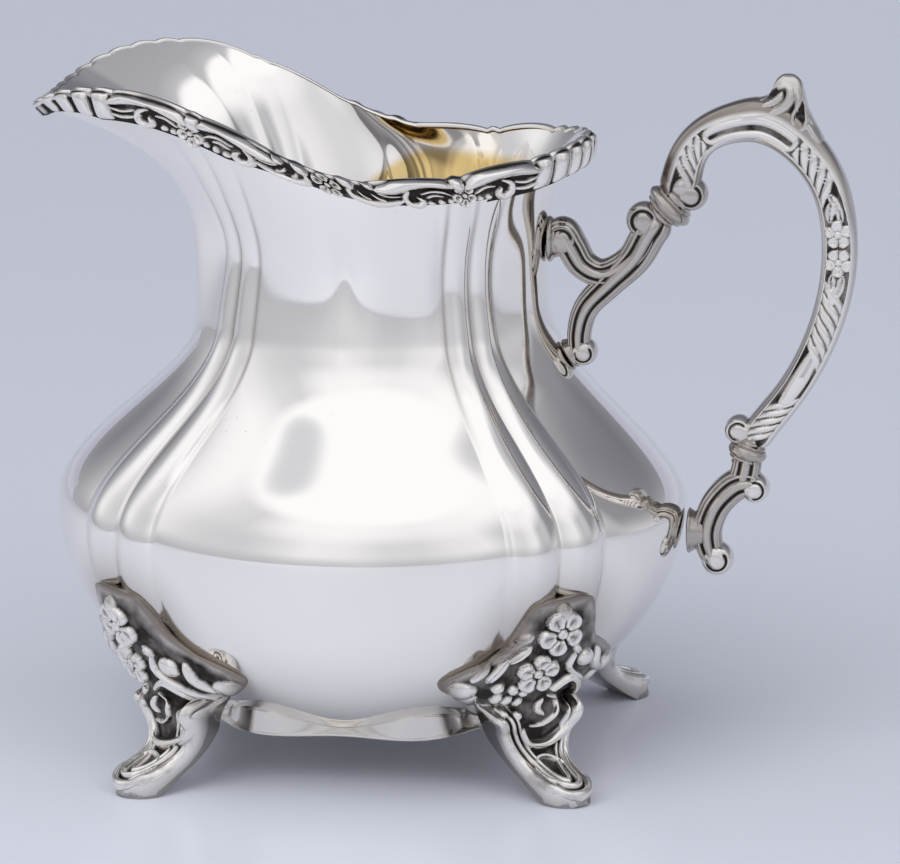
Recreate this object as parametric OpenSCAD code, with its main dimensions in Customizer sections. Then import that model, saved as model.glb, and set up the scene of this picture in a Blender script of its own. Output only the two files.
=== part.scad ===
// Small footed silver creamer, in millimetres, standing on the table at z = 0.
// The spout points along -X and the handle along +X.

/* [Body] */
// Radius of the belly at the middle of a wide panel
belly_r = 58; // [54:0.5:62]
// Height of the widest part of the belly above the table
belly_z = 46; // [43:0.5:50]
// Height of the body's open bottom edge above the table
base_z = 11; // [9.5:0.5:12.5]
// How far the bowl's curve would run on below the bottom edge
bowl_tail = 9; // [7:0.5:12]
// Radius of the waist under the mouth
waist_r = 32.1; // [30:0.1:34]
// Height of the waist above the table
waist_z = 85; // [82:0.5:88]
// Thickness of the raised silver sheet
wall = 0.9; // [0.7:0.1:1.3]

/* [Flutes] */
// Half the angle that one wide panel takes
panel_angle = 34.5; // [30:0.5:38]
// Share of the radius lost at the valleys between the flutes
valley_share = 0.022; // [0.01:0.001:0.04]
// Share of the radius gained on the two narrow lobes
lobe_share = 0.028; // [0.01:0.001:0.04]
// Share of the flute depth that is left at the rim
rim_flute_share = 0.3; // [0:0.05:1]

/* [Mouth] */
// Half the length of the mouth from spout tip to handle side
mouth_half_l = 50; // [47:0.5:53]
// Half the width of the mouth
mouth_half_w = 32.5; // [30:0.5:35]
// How far the middle of the mouth stands ahead of the body's axis
mouth_shift = 10.5; // [8:0.5:12]
// Height of the lowest stretch of the rim
rim_low_z = 109.5; // [107:0.5:112]
// Distance of the lowest stretch of the rim behind the axis
rim_low_x = 9; // [6:0.5:12]
// Height of the highest stretch of the rim, over the spout
rim_high_z = 124.4; // [122:0.2:127]
// Distance of the highest stretch of the rim ahead of the axis
rim_high_x = 43; // [40:0.5:46]
// Drop from the highest stretch of the rim to the spout's tip
spout_drop = 5.9; // [4:0.1:8]
// Rise from the lowest stretch of the rim to the handle side
back_rise = 4; // [2:0.5:6]

/* [Rim border] */
// Height of the applied cast border
border_h = 5; // [4:0.1:6]
// How far the border stands proud of the sheet
border_d = 2.1; // [1.5:0.1:2.6]
// Number of bosses round the whole border
border_bosses = 44; // [30:2:60]

/* [Base plate] */
// Thickness of the flat of the base plate
plate_t = 0.9; // [0.6:0.1:1.4]
// Radius of the scalloped edge at its valleys
scallop_r = 36.4; // [35:0.2:38]
// How far a scallop reaches out past its valleys
scallop_out = 3.6; // [2:0.2:5]
// How far a scallop climbs the bowl
scallop_up = 3.4; // [2:0.2:4.5]
// Height of the dome in the middle of the plate
plate_dome = 1.6; // [1:0.1:2.5]

/* [Feet] */
// Height of the leaf tip of a foot above the table
foot_h = 40.5; // [38:0.5:43]
// Half the span of a foot's two wings
wing_half = 19.8; // [17:0.2:22]
// How far the toes reach out past the belly
toe_out = 2; // [0:0.2:3]
// Thickness of a foot at the edges of its shield
shield_edge = 1.2; // [0.8:0.1:1.6]
// How far the toe of the front left foot leans towards the front
front_left_lean = 5; // [-8:0.5:8]
// How far the toe of the front right foot leans towards the handle
front_right_lean = 2.5; // [-8:0.5:8]
// How far the toe of the back right foot leans towards the front
back_right_lean = 6; // [-8:0.5:8]

/* [Handle] */
// How far the outside of the grip stands beyond the belly
grip_out = 30.6; // [28:0.2:34]
// Height of the grip's crown above the upper collar
grip_rise = 16.4; // [14:0.2:19]
// Height of the thumb piece above the grip's crown
thumb_up = 8.2; // [6:0.2:10]
// Half the width of the grip, side to side
grip_half_w = 3.5; // [2.8:0.1:4.2]
// Distance of the upper collar from the waist
upper_collar_out = 22.3; // [21:0.2:24]
// Height of the upper collar above the table
upper_collar_z = 101.5; // [100:0.5:103]
// Distance of the lower collar from the belly
lower_collar_out = 11; // [10:0.2:12]
// Height of the lower collar above the table
lower_collar_z = 56.5; // [55:0.5:58]
// Radius of the upper collar
upper_collar_r = 4.7; // [4.2:0.1:5.2]
// Radius of the lower collar
lower_collar_r = 3.6; // [3.2:0.1:4]
// Thickness of both collars
collar_t = 2.4; // [2:0.1:3]
// Radius of the spigots that join the castings
spigot_r = 1.8; // [1.4:0.1:2.1]
// Length of the spigots
spigot_l = 4; // [3:0.2:5]
// Height of the neck pad of the upper bracket
neck_pad_z = 94.8; // [93:0.2:96]
// Height of the shoulder pad of the upper bracket
shoulder_pad_z = 73.6; // [72:0.2:75]
// Height of the belly pad of the lower bracket
belly_pad_z = 41.4; // [40:0.2:43]
// Radius of the three pads that are soldered to the body
pad_r = 4.2; // [3.6:0.1:4.8]

/* [Fits] */
// Gap left between a soldered piece and its seat
seat_gap = 0.05; // [0.03:0.01:0.1]
// Gap between a pad and the curved sheet under it
pad_gap = 0.2; // [0.15:0.01:0.3]
// Clearance round a spigot in its socket
spigot_fit = 0.05; // [0.03:0.01:0.1]

/* [Hidden] */

silver = [0.80, 0.80, 0.81];
dark_silver = [0.62, 0.60, 0.58];

quarter = 90;
half_quarter = quarter / 2;
bowl_depth = belly_z - base_z + bowl_tail;
bowl_power = 1.95;
shoulder_powers = [1.5, 2.1];
panel_power = 2.4;
lobe_power = 0.8;
flare_power = 3.85;
panel_steps = 10;
lobe_steps = 8;
bowl_steps = 14;
neck_steps = 10;
nudge = 0.01;

// Depth down the lip and bulge of the rim border's rows, as shares of its height and depth
border_depth_shares = [1, 0.72, 0.38, 0.02];
border_bulge_shares = [0.35, 0.85, 1, 0.45];

// Where the whole piece stands: the middle of its length is over the origin
border_seam = 0.2;
grip_reach = belly_r + grip_out;
spout_reach = -min([for (p = border_ring(180 - border_seam)) p[0]]);
axis_x = (spout_reach - grip_reach) / 2;

// The angles of one ring of body points, closer together on the narrow lobes
ring_angles = [for (q = [0:3]) each concat(
    [for (i = [0:panel_steps - 1]) q * quarter + panel_angle * (2 * i / panel_steps - 1)],
    [for (i = [0:lobe_steps - 1])
        q * quarter + panel_angle + 2 * (half_quarter - panel_angle) * i / lobe_steps])];

function unit(v) = v / norm(v);
function mean(ring) = [for (k = [0:2]) [for (p = ring) 1] * [for (p = ring) p[k]] / len(ring)];
function bell(t) = (1 - cos(2 * t)) / 2;

// Radius of the bowl below the belly, and of the shoulder above it
function bowl_r(z) =
    belly_r * pow(1 - pow(max(0, belly_z - z) / bowl_depth, bowl_power), 1 / bowl_power);
function shoulder_r(z) = waist_r + (belly_r - waist_r)
    * pow(1 - pow((min(z, waist_z) - belly_z) / (waist_z - belly_z), shoulder_powers[0]),
          shoulder_powers[1]);
function profile_r(z) = z < belly_z ? bowl_r(z) : shoulder_r(z);

// Share of the radius at one angle: four wide panels and a pair of lobes between them
function flute(angle, depth) =
    let (off = abs(angle - quarter * round(angle / quarter)),
         u = (off - panel_angle) / (half_quarter - panel_angle))
    off <= panel_angle
        ? 1 - depth * valley_share * pow(off / panel_angle, panel_power)
        : 1 - depth * (valley_share - lobe_share * pow(max(0, sin(180 * u)), lobe_power));

// A point of the rim: an oval in plan, fuller at the spout, and high over the spout
function rim_z(x) =
    let (run = min(1, max(0, (rim_low_x - x) / (rim_low_x + rim_high_x))),
         tip = max(0, -x - rim_high_x) / (mouth_shift + mouth_half_l - rim_high_x),
         back = max(0, x - rim_low_x) / (mouth_half_l - mouth_shift - rim_low_x))
    rim_low_z + (rim_high_z - rim_low_z) * (1 - cos(180 * run)) / 2
        - spout_drop * pow(tip, 2.2) + back_rise * pow(back, 2);
function rim_point(angle) =
    let (a = angle - 8 * sin(angle), n = cos(a) < 0 ? 3 : 2,
         r = pow(pow(abs(cos(a)) / mouth_half_l, n) + pow(abs(sin(a)) / mouth_half_w, n), -1 / n),
         x = r * cos(a) - mouth_shift)
    [x, r * sin(a), rim_z(x)];

// A point of the sheet's outside: v runs from 0 at the bottom through 1 at the waist to 2 at the rim
function body_point(angle, v) =
    let (dir = [cos(angle), sin(angle)], z = base_z + (waist_z - base_z) * v, up = v - 1)
    v <= 1
        ? let (r = profile_r(z) * flute(angle, 1)) [r * dir[0], r * dir[1], z]
        : let (r = waist_r * flute(angle, 1 - (1 - rim_flute_share) * up),
               rim = rim_point(angle), f = pow(up, flare_power))
          [r * dir[0] + (rim[0] - r * dir[0]) * f, r * dir[1] + (rim[1] - r * dir[1]) * f,
           waist_z + (rim[2] - waist_z) * up];
function body_normal(angle, v) =
    unit(cross(body_point(angle + 1, v) - body_point(angle - 1, v),
               body_point(angle, v + nudge) - body_point(angle, v - nudge)));

// Faces of a grid of rings that closes round each ring, seen from outside
function band_faces(rows, cols, first, wrap) = [
    for (i = [0:rows - (wrap ? 1 : 2)]) for (j = [0:cols - 1])
        let (a = first + i * cols + j, b = first + i * cols + (j + 1) % cols,
             c = first + (i + 1) % rows * cols + j, d = first + (i + 1) % rows * cols + (j + 1) % cols)
        each [[a, c, d], [a, d, b]]];

// A solid through a list of rings, closed by a fan at each end
module loft(rings) {
    cols = len(rings[0]);
    rows = len(rings);
    last = 1 + rows * cols;
    polyhedron(
        points = concat([mean(rings[0])], [for (ring = rings) each ring], [mean(rings[rows - 1])]),
        faces = concat(
            [for (j = [0:cols - 1]) [0, 1 + j, 1 + (j + 1) % cols]],
            band_faces(rows, cols, 1, false),
            [for (j = [0:cols - 1]) [last, last - cols + (j + 1) % cols, last - cols + j]]),
        convexity = 8);
}

// A smooth curve through control points, each of which may carry widths after its place
function curve(p, steps) = [
    for (i = [0:len(p) - 2]) for (s = [0:steps - (i == len(p) - 2 ? 0 : 1)])
        let (t = s / steps, a = p[max(0, i - 1)], b = p[i], c = p[i + 1], d = p[min(len(p) - 1, i + 2)])
        (2 * b + (c - a) * t + (2 * a - 5 * b + 4 * c - d) * t * t
            + (3 * b - a - 3 * c + d) * t * t * t) / 2];

// Oval rings round a curve that lies in the upright plane through the handle.
// Each station is [x, z, half thickness in the plane, half width across it].
function oval_rings(st, sides) = [
    for (i = [0:len(st) - 1])
        let (along = st[min(len(st) - 1, i + 1)] - st[max(0, i - 1)],
             dir = unit([along[0], 0, along[1]]), side = [-dir[2], 0, dir[0]])
        [for (k = [0:sides - 1]) let (a = 360 * k / sides)
            [st[i][0], 0, st[i][1]] + st[i][2] * cos(a) * side - st[i][3] * sin(a) * [0, 1, 0]]];

module sweep(points, steps, sides) { loft(oval_rings(curve(points, steps), sides)); }

// A round disc across the handle's plane, such as the eye of a scroll
module scroll_eye(x, z, r, half_w) {
    translate([x, 0, z]) rotate([90, 0, 0]) cylinder(r = r, h = 2 * half_w, center = true, $fn = 48);
}

// Raised and fluted sheet: the outside and inside surfaces joined at the two edges
module body_shell() {
    stations = concat(
        [for (i = [0:bowl_steps - 1]) pow(i / bowl_steps, 1.3)],
        [for (i = [0:neck_steps]) 2 - pow(1 - i / neck_steps, 1.6)]);
    outside = [for (v = stations) [for (a = ring_angles) body_point(a, v)]];
    inside = [for (i = [len(stations) - 1:-1:0]) [for (j = [0:len(ring_angles) - 1])
        outside[i][j] - wall * body_normal(ring_angles[j], stations[i])]];
    rings = concat(outside, inside);
    color(silver) translate([axis_x, 0, 0])
        polyhedron(points = [for (ring = rings) each ring],
                   faces = band_faces(len(rings), len(ring_angles), 0, true), convexity = 8);
}

// Stamped bottom with a scalloped edge that climbs a little way up the bowl
module base_plate() {
    plate_r = bowl_r(base_z) / 2;
    top_z = base_z - seat_gap;
    low_z = top_z - plate_t;
    function scallop(a) = bell(4 * a);
    function edge(a, z) = let (r = scallop_r + scallop_out * scallop(a)) [r * cos(a), r * sin(a), z];
    function seat(a, climb) =
        let (z = base_z + (plate_t / 2 + scallop_up * scallop(a)) * climb,
             r = bowl_r(z) * flute(a, 1) + seat_gap)
        [r * cos(a), r * sin(a), climb == 0 ? top_z : z];
    function flat_ring(z) = [for (a = ring_angles) [plate_r * cos(a), plate_r * sin(a), z]];
    rings = [
        flat_ring(low_z + plate_dome),
        [for (a = ring_angles) edge(a, low_z)],
        [for (a = ring_angles) edge(a, low_z + plate_t / 2)],
        [for (a = ring_angles) let (e = edge(a, low_z + plate_t), s = seat(a, 1)) (2 * e + 3 * s) / 5
            + [0, 0, (e[2] - s[2]) / 4]],
        [for (a = ring_angles) seat(a, 1)],
        [for (a = ring_angles) seat(a, 0.5)],
        [for (a = ring_angles) seat(a, 0)],
        flat_ring(top_z + plate_dome)];
    color(silver) translate([axis_x, 0, 0]) loft(rings);
}

// One ring of the rim border: down the lip and back up over the row of bosses
function lip(angle, share) =
    let (run = norm(body_point(angle, 2) - body_point(angle, 2 - nudge)) / nudge)
    2 - share * border_h / run;
function boss(angle) = 0.78 + 0.22 * abs(sin(border_bosses * angle / 2));
function border_ring(angle) = concat(
    [for (s = border_depth_shares) let (v = lip(angle, s))
        body_point(angle, v) + seat_gap * body_normal(angle, v)],
    [for (k = [3:-1:0]) let (v = lip(angle, border_depth_shares[k]))
        body_point(angle, v)
            + (seat_gap + border_d * border_bulge_shares[k] * boss(angle)) * body_normal(angle, v)]);

// Cast border along one side of the rim, soldered to the outside of the lip
module rim_border(side) {
    count = 72;
    rings = [for (i = [0:count])
        border_ring(side * (border_seam + (180 - 2 * border_seam) * i / count))];
    color(dark_silver) translate([axis_x, 0, 0])
        loft(side > 0 ? [for (ring = rings) [for (k = [7:-1:0]) ring[k]]] : rings);
}

// Cast foot: a leafy shield on the bowl that draws in to a leg and a turned-out toe.
// Built along +X and turned to its corner. The lean moves its toe sideways.
module foot(turn, lean) {
    toe_r = belly_r + toe_out;
    // Height, half width and thickness of the shield, from its leaf tip down
    shield_shares = [[1, 0.06, 0.3], [0.97, 0.24, 0.45], [0.91, 0.36, 0.6], [0.84, 0.44, 0.75],
        [0.765, 0.54, 0.85], [0.705, 0.68, 0.9], [0.655, 0.86, 0.95], [0.61, 0.98, 1.1],
        [0.57, 1, 1.35], [0.525, 0.9, 1.65], [0.475, 0.7, 2], [0.425, 0.53, 2.35]];
    // Front and back of the leg, each as a share of the toe's reach and of the height, and half width
    leg_shares = [[0.835, 0.37, 0.702, 0.355, 0.49], [0.817, 0.3, 0.708, 0.27, 0.425],
        [0.812, 0.235, 0.735, 0.195, 0.365], [0.832, 0.175, 0.776, 0.128, 0.31],
        [0.872, 0.135, 0.826, 0.075, 0.28], [0.918, 0.11, 0.876, 0.025, 0.265],
        [0.96, 0.092, 0.925, -0.012, 0.245], [0.988, 0.065, 0.962, -0.012, 0.19],
        [1, 0.03, 0.99, 0.005, 0.1]];
    shield_t = 2.2 * shield_edge;
    across = [for (k = [-4:4]) k / 4];
    back_across = [for (k = [3:-1:-3]) k / 3];
    function aside(y, z) = y + lean * (1 - z / foot_h);
    shield_rings = [for (s = curve(shield_shares, 2))
        let (z = s[0] * foot_h, w = s[1] * wing_half, r = bowl_r(z) + seat_gap)
        concat(
            [for (u = across) let (y = aside(w * u, z)) [sqrt(r * r - y * y) + shield_edge
                + (shield_t * s[2] - shield_edge / 2) * (1 - u * u), y, z]],
            [for (u = back_across) let (y = aside(w * u, z)) [sqrt(r * r - y * y), y, z]])];
    leg_rings = [for (s = curve(leg_shares, 2)) let (w = s[4] * wing_half)
        concat(
            [for (u = across) let (z = s[1] * foot_h)
                [s[0] * toe_r - shield_edge * u * u, aside(w * u, z), z]],
            [for (u = back_across) let (z = s[3] * foot_h) [s[2] * toe_r, aside(w * u, z), z]])];
    rings = concat(shield_rings, leg_rings);
    color(dark_silver) translate([axis_x, 0, 0]) rotate([0, 0, turn]) difference() {
        loft([for (ring = rings) [for (k = [len(ring) - 1:-1:0]) ring[k]]]);
        translate([0, -2 * wing_half, -foot_h]) cube([2 * toe_r, 4 * wing_half, foot_h]);
    }
}

// Places and directions of the two joints between the handle's castings
upper_collar = [waist_r + upper_collar_out, upper_collar_z];
lower_collar = [belly_r + lower_collar_out, lower_collar_z];
upper_tilt = 45;
lower_tilt = 18;
function offset_from(place, tilt, run) = place + run * [sin(tilt), cos(tilt)];

module along_joint(place, tilt, run) {
    p = offset_from(place, tilt, run);
    translate([p[0], 0, p[1]]) rotate([0, tilt, 0]) children();
}

// Two-legged casting from the neck and the shoulder up to the collar
module upper_handle_bracket() {
    neck_x = waist_r + pad_gap;
    shoulder_x = shoulder_r(shoulder_pad_z);
    end = offset_from(upper_collar, upper_tilt, 0);
    half_w = 0.9 * grip_half_w;
    // Places as shares of the way from the neck pad to the collar, then thickness and width shares
    arm_shares = [[0.08, 0, 0.55, 0.8], [0.16, -0.12, 0.75, 0.9], [0.25, -0.6, 0.72, 0.9],
        [0.42, -0.83, 0.62, 0.85], [0.6, -0.7, 0.64, 0.85], [0.76, -0.2, 0.7, 0.9]];
    // Places as shares of the way from the shoulder pad to the collar
    leg_shares = [[0.13, 0.02, 0.5, 0.85], [0.13, 0.17, 0.5, 0.85], [0.2, 0.34, 0.58, 0.85],
        [0.42, 0.49, 0.7, 0.9], [0.68, 0.66, 0.85, 0.95], [0.84, 0.83, 0.95, 1], [0.96, 0.96, 1.1, 1]];
    function arm(s) = [neck_x + s[0] * (end[0] - neck_x), neck_pad_z + s[1] * (end[1] - neck_pad_z),
        s[2] * upper_collar_r * 0.8, s[3] * half_w];
    function leg(s) = [shoulder_x + s[0] * (end[0] - shoulder_x),
        shoulder_pad_z + s[1] * (end[1] - shoulder_pad_z), s[2] * upper_collar_r * 0.8, s[3] * half_w];
    slope = atan((shoulder_r(shoulder_pad_z - wall) - shoulder_r(shoulder_pad_z + wall)) / (2 * wall));
    color(dark_silver) translate([axis_x, 0, 0]) difference() {
        union() {
            sweep([for (s = arm_shares) arm(s)], 4, 12);
            sweep([for (s = leg_shares) leg(s)], 3, 12);
            translate([neck_x, 0, neck_pad_z]) rotate([0, 90, 0])
                cylinder(r = pad_r, h = pad_r / 2, $fn = 48);
            scroll_eye(neck_x + 0.7 * pad_r, neck_pad_z, 0.62 * pad_r, half_w);
            scroll_eye(upper_collar[0] - upper_collar_r, upper_collar[1] - pad_r / 2,
                       0.65 * pad_r, half_w);
            scroll_eye(shoulder_x + 0.75 * pad_r, shoulder_pad_z + pad_r / 8, 0.58 * pad_r, half_w);
            translate([shoulder_x, 0, shoulder_pad_z]) rotate([0, 90 - slope, 0])
                translate([0, 0, pad_gap]) cylinder(r = 0.7 * pad_r, h = pad_r / 2, $fn = 48);
            along_joint(upper_collar, upper_tilt, -collar_t / 2)
                cylinder(r = upper_collar_r, h = collar_t, $fn = 64);
        }
        along_joint(upper_collar, upper_tilt, collar_t / 2 - spigot_l - spigot_fit)
            cylinder(r = spigot_r + spigot_fit, h = 2 * spigot_l, $fn = 48);
        translate([shoulder_x, 0, shoulder_pad_z]) rotate([0, 90 - slope, 0])
            translate([0, 0, pad_gap - 2 * pad_r])
                cylinder(r = 2 * pad_r, h = 2 * pad_r, $fn = 48);
    }
}

// C-scroll grip with a thumb piece on its crown and a spigot at each end
module handle_grip() {
    top = offset_from(upper_collar, upper_tilt, collar_t / 2 + seat_gap);
    foot_end = offset_from(lower_collar, lower_tilt, collar_t / 2 + seat_gap);
    crown_z = upper_collar_z + grip_rise;
    outer_share = 0.92;
    far_x = grip_reach - outer_share * grip_half_w;
    // Places as shares: out from the upper end to the far side, and up from the lower end to the
    // crown, then shares of the half width for the thickness
    grip_shares = [[0.045, 0.8, 1.1], [0.055, 0.88, 0.95], [0.165, 0.952, 0.92], [0.315, 0.983, 1.0],
        [0.443, 0.995, 1.12], [0.547, 1, 1.25], [0.695, 0.957, 1.1], [0.842, 0.885, 1.02],
        [0.943, 0.797, 0.95], [0.99, 0.696, 0.92], [1, 0.586, outer_share], [0.98, 0.478, 0.9],
        [0.906, 0.346, 0.86], [0.8, 0.238, 0.82], [0.69, 0.145, 0.8]];
    function place(s) = [top[0] + s[0] * (far_x - top[0]), foot_end[1] + s[1] * (crown_z - foot_end[1]),
        s[2] * grip_half_w, grip_half_w];
    // Places of the thumb piece, up from the crown as shares of its height
    thumb_shares = [[0.655, 0.98, 0.3], [0.665, 0.85, 0.56], [0.695, 0.6, 0.66], [0.74, 0.25, 0.72],
        [0.8, -0.2, 0.62], [0.86, -0.62, 0.4]];
    function thumb(s) = [top[0] + s[0] * (far_x - top[0]), crown_z + s[1] * thumb_up,
        s[2] * grip_half_w, 0.8 * grip_half_w * min(1, s[2] * 1.6)];
    color(dark_silver) translate([axis_x, 0, 0]) union() {
        sweep(concat([[top[0], top[1], grip_half_w, grip_half_w]],
                     [for (s = grip_shares) place(s)],
                     [[foot_end[0] + 0.86 * grip_half_w, foot_end[1] + 1.4 * grip_half_w,
                       0.84 * grip_half_w, grip_half_w],
                      [foot_end[0], foot_end[1], 0.85 * grip_half_w, 0.9 * grip_half_w]]), 3, 12);
        sweep([for (s = thumb_shares) thumb(s)], 2, 12);
        scroll_eye(upper_collar[0] + 1.6 * grip_half_w, upper_collar[1] + 0.86 * grip_half_w,
                   0.92 * grip_half_w, 0.95 * grip_half_w);
        scroll_eye(foot_end[0] - 0.6 * grip_half_w, foot_end[1] + 0.85 * grip_half_w,
                   0.75 * grip_half_w, 0.95 * grip_half_w);
        along_joint(upper_collar, upper_tilt, collar_t / 2 - spigot_l)
            cylinder(r = spigot_r, h = spigot_l + grip_half_w, $fn = 48);
        along_joint(lower_collar, lower_tilt, collar_t / 2 - spigot_l)
            cylinder(r = spigot_r, h = spigot_l + grip_half_w, $fn = 48);
    }
}

// Scrolled casting from the belly up to the lower collar
module lower_handle_bracket() {
    belly_x = belly_r + pad_gap;
    end = offset_from(lower_collar, lower_tilt, 0);
    half_w = 0.9 * grip_half_w;
    // Places as shares of the way from the belly pad to the collar, then thickness and width shares
    stem_shares = [[0.42, -0.36, 0.5, 0.8], [0.34, -0.1, 0.72, 0.9], [0.36, 0.2, 0.76, 0.9],
        [0.55, 0.46, 0.8, 0.95], [0.86, 0.66, 0.86, 1], [0.98, 0.88, 0.95, 1],
        [1, 1, 0.9, 1]];
    function stem(s) = [belly_x + s[0] * (end[0] - belly_x), belly_pad_z + s[1] * (end[1] - belly_pad_z),
        s[2] * lower_collar_r, s[3] * half_w];
    color(dark_silver) translate([axis_x, 0, 0]) difference() {
        union() {
            sweep([for (s = stem_shares) stem(s)], 4, 12);
            translate([belly_x, 0, belly_pad_z]) rotate([0, 90, 0])
                cylinder(r = pad_r, h = pad_r, $fn = 48);
            scroll_eye(belly_x + 1.2 * pad_r, belly_pad_z - 1.25 * pad_r, 0.72 * pad_r, half_w);
            scroll_eye(lower_collar[0] + 0.4 * pad_r, lower_collar[1] - 1.6 * pad_r,
                       0.6 * pad_r, half_w);
            along_joint(lower_collar, lower_tilt, -collar_t / 2)
                cylinder(r = lower_collar_r, h = collar_t, $fn = 64);
        }
        along_joint(lower_collar, lower_tilt, collar_t / 2 - spigot_l - spigot_fit)
            cylinder(r = spigot_r + spigot_fit, h = 2 * spigot_l, $fn = 48);
    }
}

body_shell();
base_plate();
rim_border(-1);  // rim_border_left
rim_border(1);  // rim_border_right
foot(-3 * half_quarter, front_left_lean);  // foot_front_left
foot(-half_quarter, front_right_lean);  // foot_front_right
foot(3 * half_quarter, 0);  // foot_back_left
foot(half_quarter, -back_right_lean);  // foot_back_right
upper_handle_bracket();
handle_grip();
lower_handle_bracket();
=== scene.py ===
import math

import bmesh
import bpy
import numpy as np
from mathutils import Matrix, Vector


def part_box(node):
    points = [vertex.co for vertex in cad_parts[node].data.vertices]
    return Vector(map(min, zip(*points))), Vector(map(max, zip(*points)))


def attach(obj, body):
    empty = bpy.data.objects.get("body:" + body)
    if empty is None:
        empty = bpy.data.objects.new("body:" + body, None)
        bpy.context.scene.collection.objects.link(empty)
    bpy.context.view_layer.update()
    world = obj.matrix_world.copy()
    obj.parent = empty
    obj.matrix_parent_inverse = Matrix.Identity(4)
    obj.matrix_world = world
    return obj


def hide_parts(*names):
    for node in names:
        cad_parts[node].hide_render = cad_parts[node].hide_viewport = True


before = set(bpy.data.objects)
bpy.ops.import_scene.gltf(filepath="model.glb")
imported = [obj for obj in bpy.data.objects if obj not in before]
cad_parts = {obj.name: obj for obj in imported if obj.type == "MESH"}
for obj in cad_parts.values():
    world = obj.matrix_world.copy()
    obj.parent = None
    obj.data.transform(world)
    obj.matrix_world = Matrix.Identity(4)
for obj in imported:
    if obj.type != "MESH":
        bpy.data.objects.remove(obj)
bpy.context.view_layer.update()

# Body shell
# One sheet of silver, raised over stakes into a round belly and a narrow neck, with a pair of
# lobes chased in at each corner between four wide panels. The lip flares into the spout. The
# outside is polished bright, and a gilt wash covers the inside from the neck down.

MM = 0.001
BELLY_R, BELLY_Z = 57.85, 46.0
BASE_Z, BOWL_TAIL = 11.0, 9.0
WAIST_R, WAIST_Z = 32.1, 85.0
WALL = 0.9
PANEL_ANGLE, CORNER_ANGLE = 34.5, 45.0
VALLEY_SHARE, LOBE_SHARE, RIM_FLUTE_SHARE = 0.022, 0.028, 0.3
MOUTH_HALF_L, MOUTH_HALF_W, MOUTH_SHIFT = 50.0, 32.5, 10.5
RIM_LOW, RIM_HIGH = (9.0, 109.5), (-43.0, 124.4)
SPOUT_DROP, BACK_RISE = 5.9, 4.0
AXIS_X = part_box("body_shell")[0][0] / MM + MOUTH_SHIFT + MOUTH_HALF_L


def part(value, start, span):
    """Share of the way from start over span, held between 0 and 1. A span below 0 runs down."""
    return np.clip((value - start) / span, 0, 1)


def unit(vectors):
    """The vectors, drawn to length 1."""
    return vectors / np.linalg.norm(vectors, axis=-1, keepdims=True)


def apart(angle, other=0):
    """Degrees between two headings. The handle is at 0 and the spout at 180."""
    return np.abs((angle - other + 180) % 360 - 180)


def off_panel(angle):
    """Degrees from the middle of the nearest wide panel."""
    return np.abs(angle - 90 * np.round(angle / 90))


def up_shoulder(z):
    """Share of the way up from the belly to the waist."""
    return part(z, BELLY_Z, WAIST_Z - BELLY_Z)


def shoulder_fall(share):
    """1 at the belly and 0 at the waist: the power 2.1 of 1 less the power 1.5 of the way up."""
    return (1 - share ** 1.5) ** 2.1


def profile(z):
    """Radius of the plain body: a super-ellipse of power 1.95 below the belly, and above it the
    shoulder's fall to the waist."""
    low = part(z, BELLY_Z, BASE_Z - BELLY_Z - BOWL_TAIL)
    bowl = BELLY_R * (1 - low ** 1.95) ** (1 / 1.95)
    shoulder = WAIST_R + (BELLY_R - WAIST_R) * shoulder_fall(up_shoulder(z))
    return np.where(z < BELLY_Z, bowl, shoulder)


def flute(angle, depth):
    """Share of the radius: it falls as a power of the angle across each wide panel, and rises as
    a sine on each of the two narrow lobes beside the corner."""
    off = off_panel(angle)
    u = part(off, PANEL_ANGLE, CORNER_ANGLE - PANEL_ANGLE)
    panel = 1 - depth * VALLEY_SHARE * (off / PANEL_ANGLE) ** 2.4
    lobe = 1 - depth * (VALLEY_SHARE - LOBE_SHARE * np.sin(np.pi * u) ** 0.8)
    return np.where(off <= PANEL_ANGLE, panel, lobe)


DRAW_START, DRAW_SPAN, DRAW_CREASE, DRAW_RATE = 72.0, 16.8, 6.6, 0.12
DRAW_END, DRAW_FADE = 92.0, 19.0
WAVE_SHARE = 0.88
HANDLE_CLEAR, HANDLE_FADE = 14, 24


def shoulder_draw(angle, z):
    """How far the shoulder lies inside the plain one, except towards the handle: it falls as half
    a cosine wave, from the belly to a share of the way up to the waist."""
    high = up_shoulder(z)
    wave = (1 + np.cos(np.pi * np.minimum(high / WAVE_SHARE, 1))) / 2
    clear = part(apart(angle), HANDLE_CLEAR, HANDLE_FADE)
    return (BELLY_R - WAIST_R) * (shoulder_fall(high) - wave) * clear * clear * (3 - 2 * clear)


def neck_draw(angle, z):
    """How far the neck is drawn in on its two wide faces: a smooth step up from below the waist,
    longer towards each face's middle and edges, which leaves a soft crease there: 1 less 1.1 of
    rise over rise plus 0.1. It fades out towards the lip, the spout and the handle."""
    rise = np.sin(np.pi * part(off_panel(angle), 0, PANEL_ANGLE)) ** 2
    crease = 1 - 1.1 * rise / (rise + 0.1)
    span = (DRAW_SPAN + DRAW_CREASE * crease) * (1 - 0.25 * np.cos(np.radians(angle)))
    up = part(z, DRAW_START, span)
    out = part(z, DRAW_END, DRAW_FADE)
    facing = part(np.abs(np.sin(np.radians(angle))), 0.2, 0.3)
    steps = [share * share * (3 - 2 * share) for share in (up, out, facing)]
    return DRAW_RATE * span * steps[0] * (1 - steps[1]) * steps[2]


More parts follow.
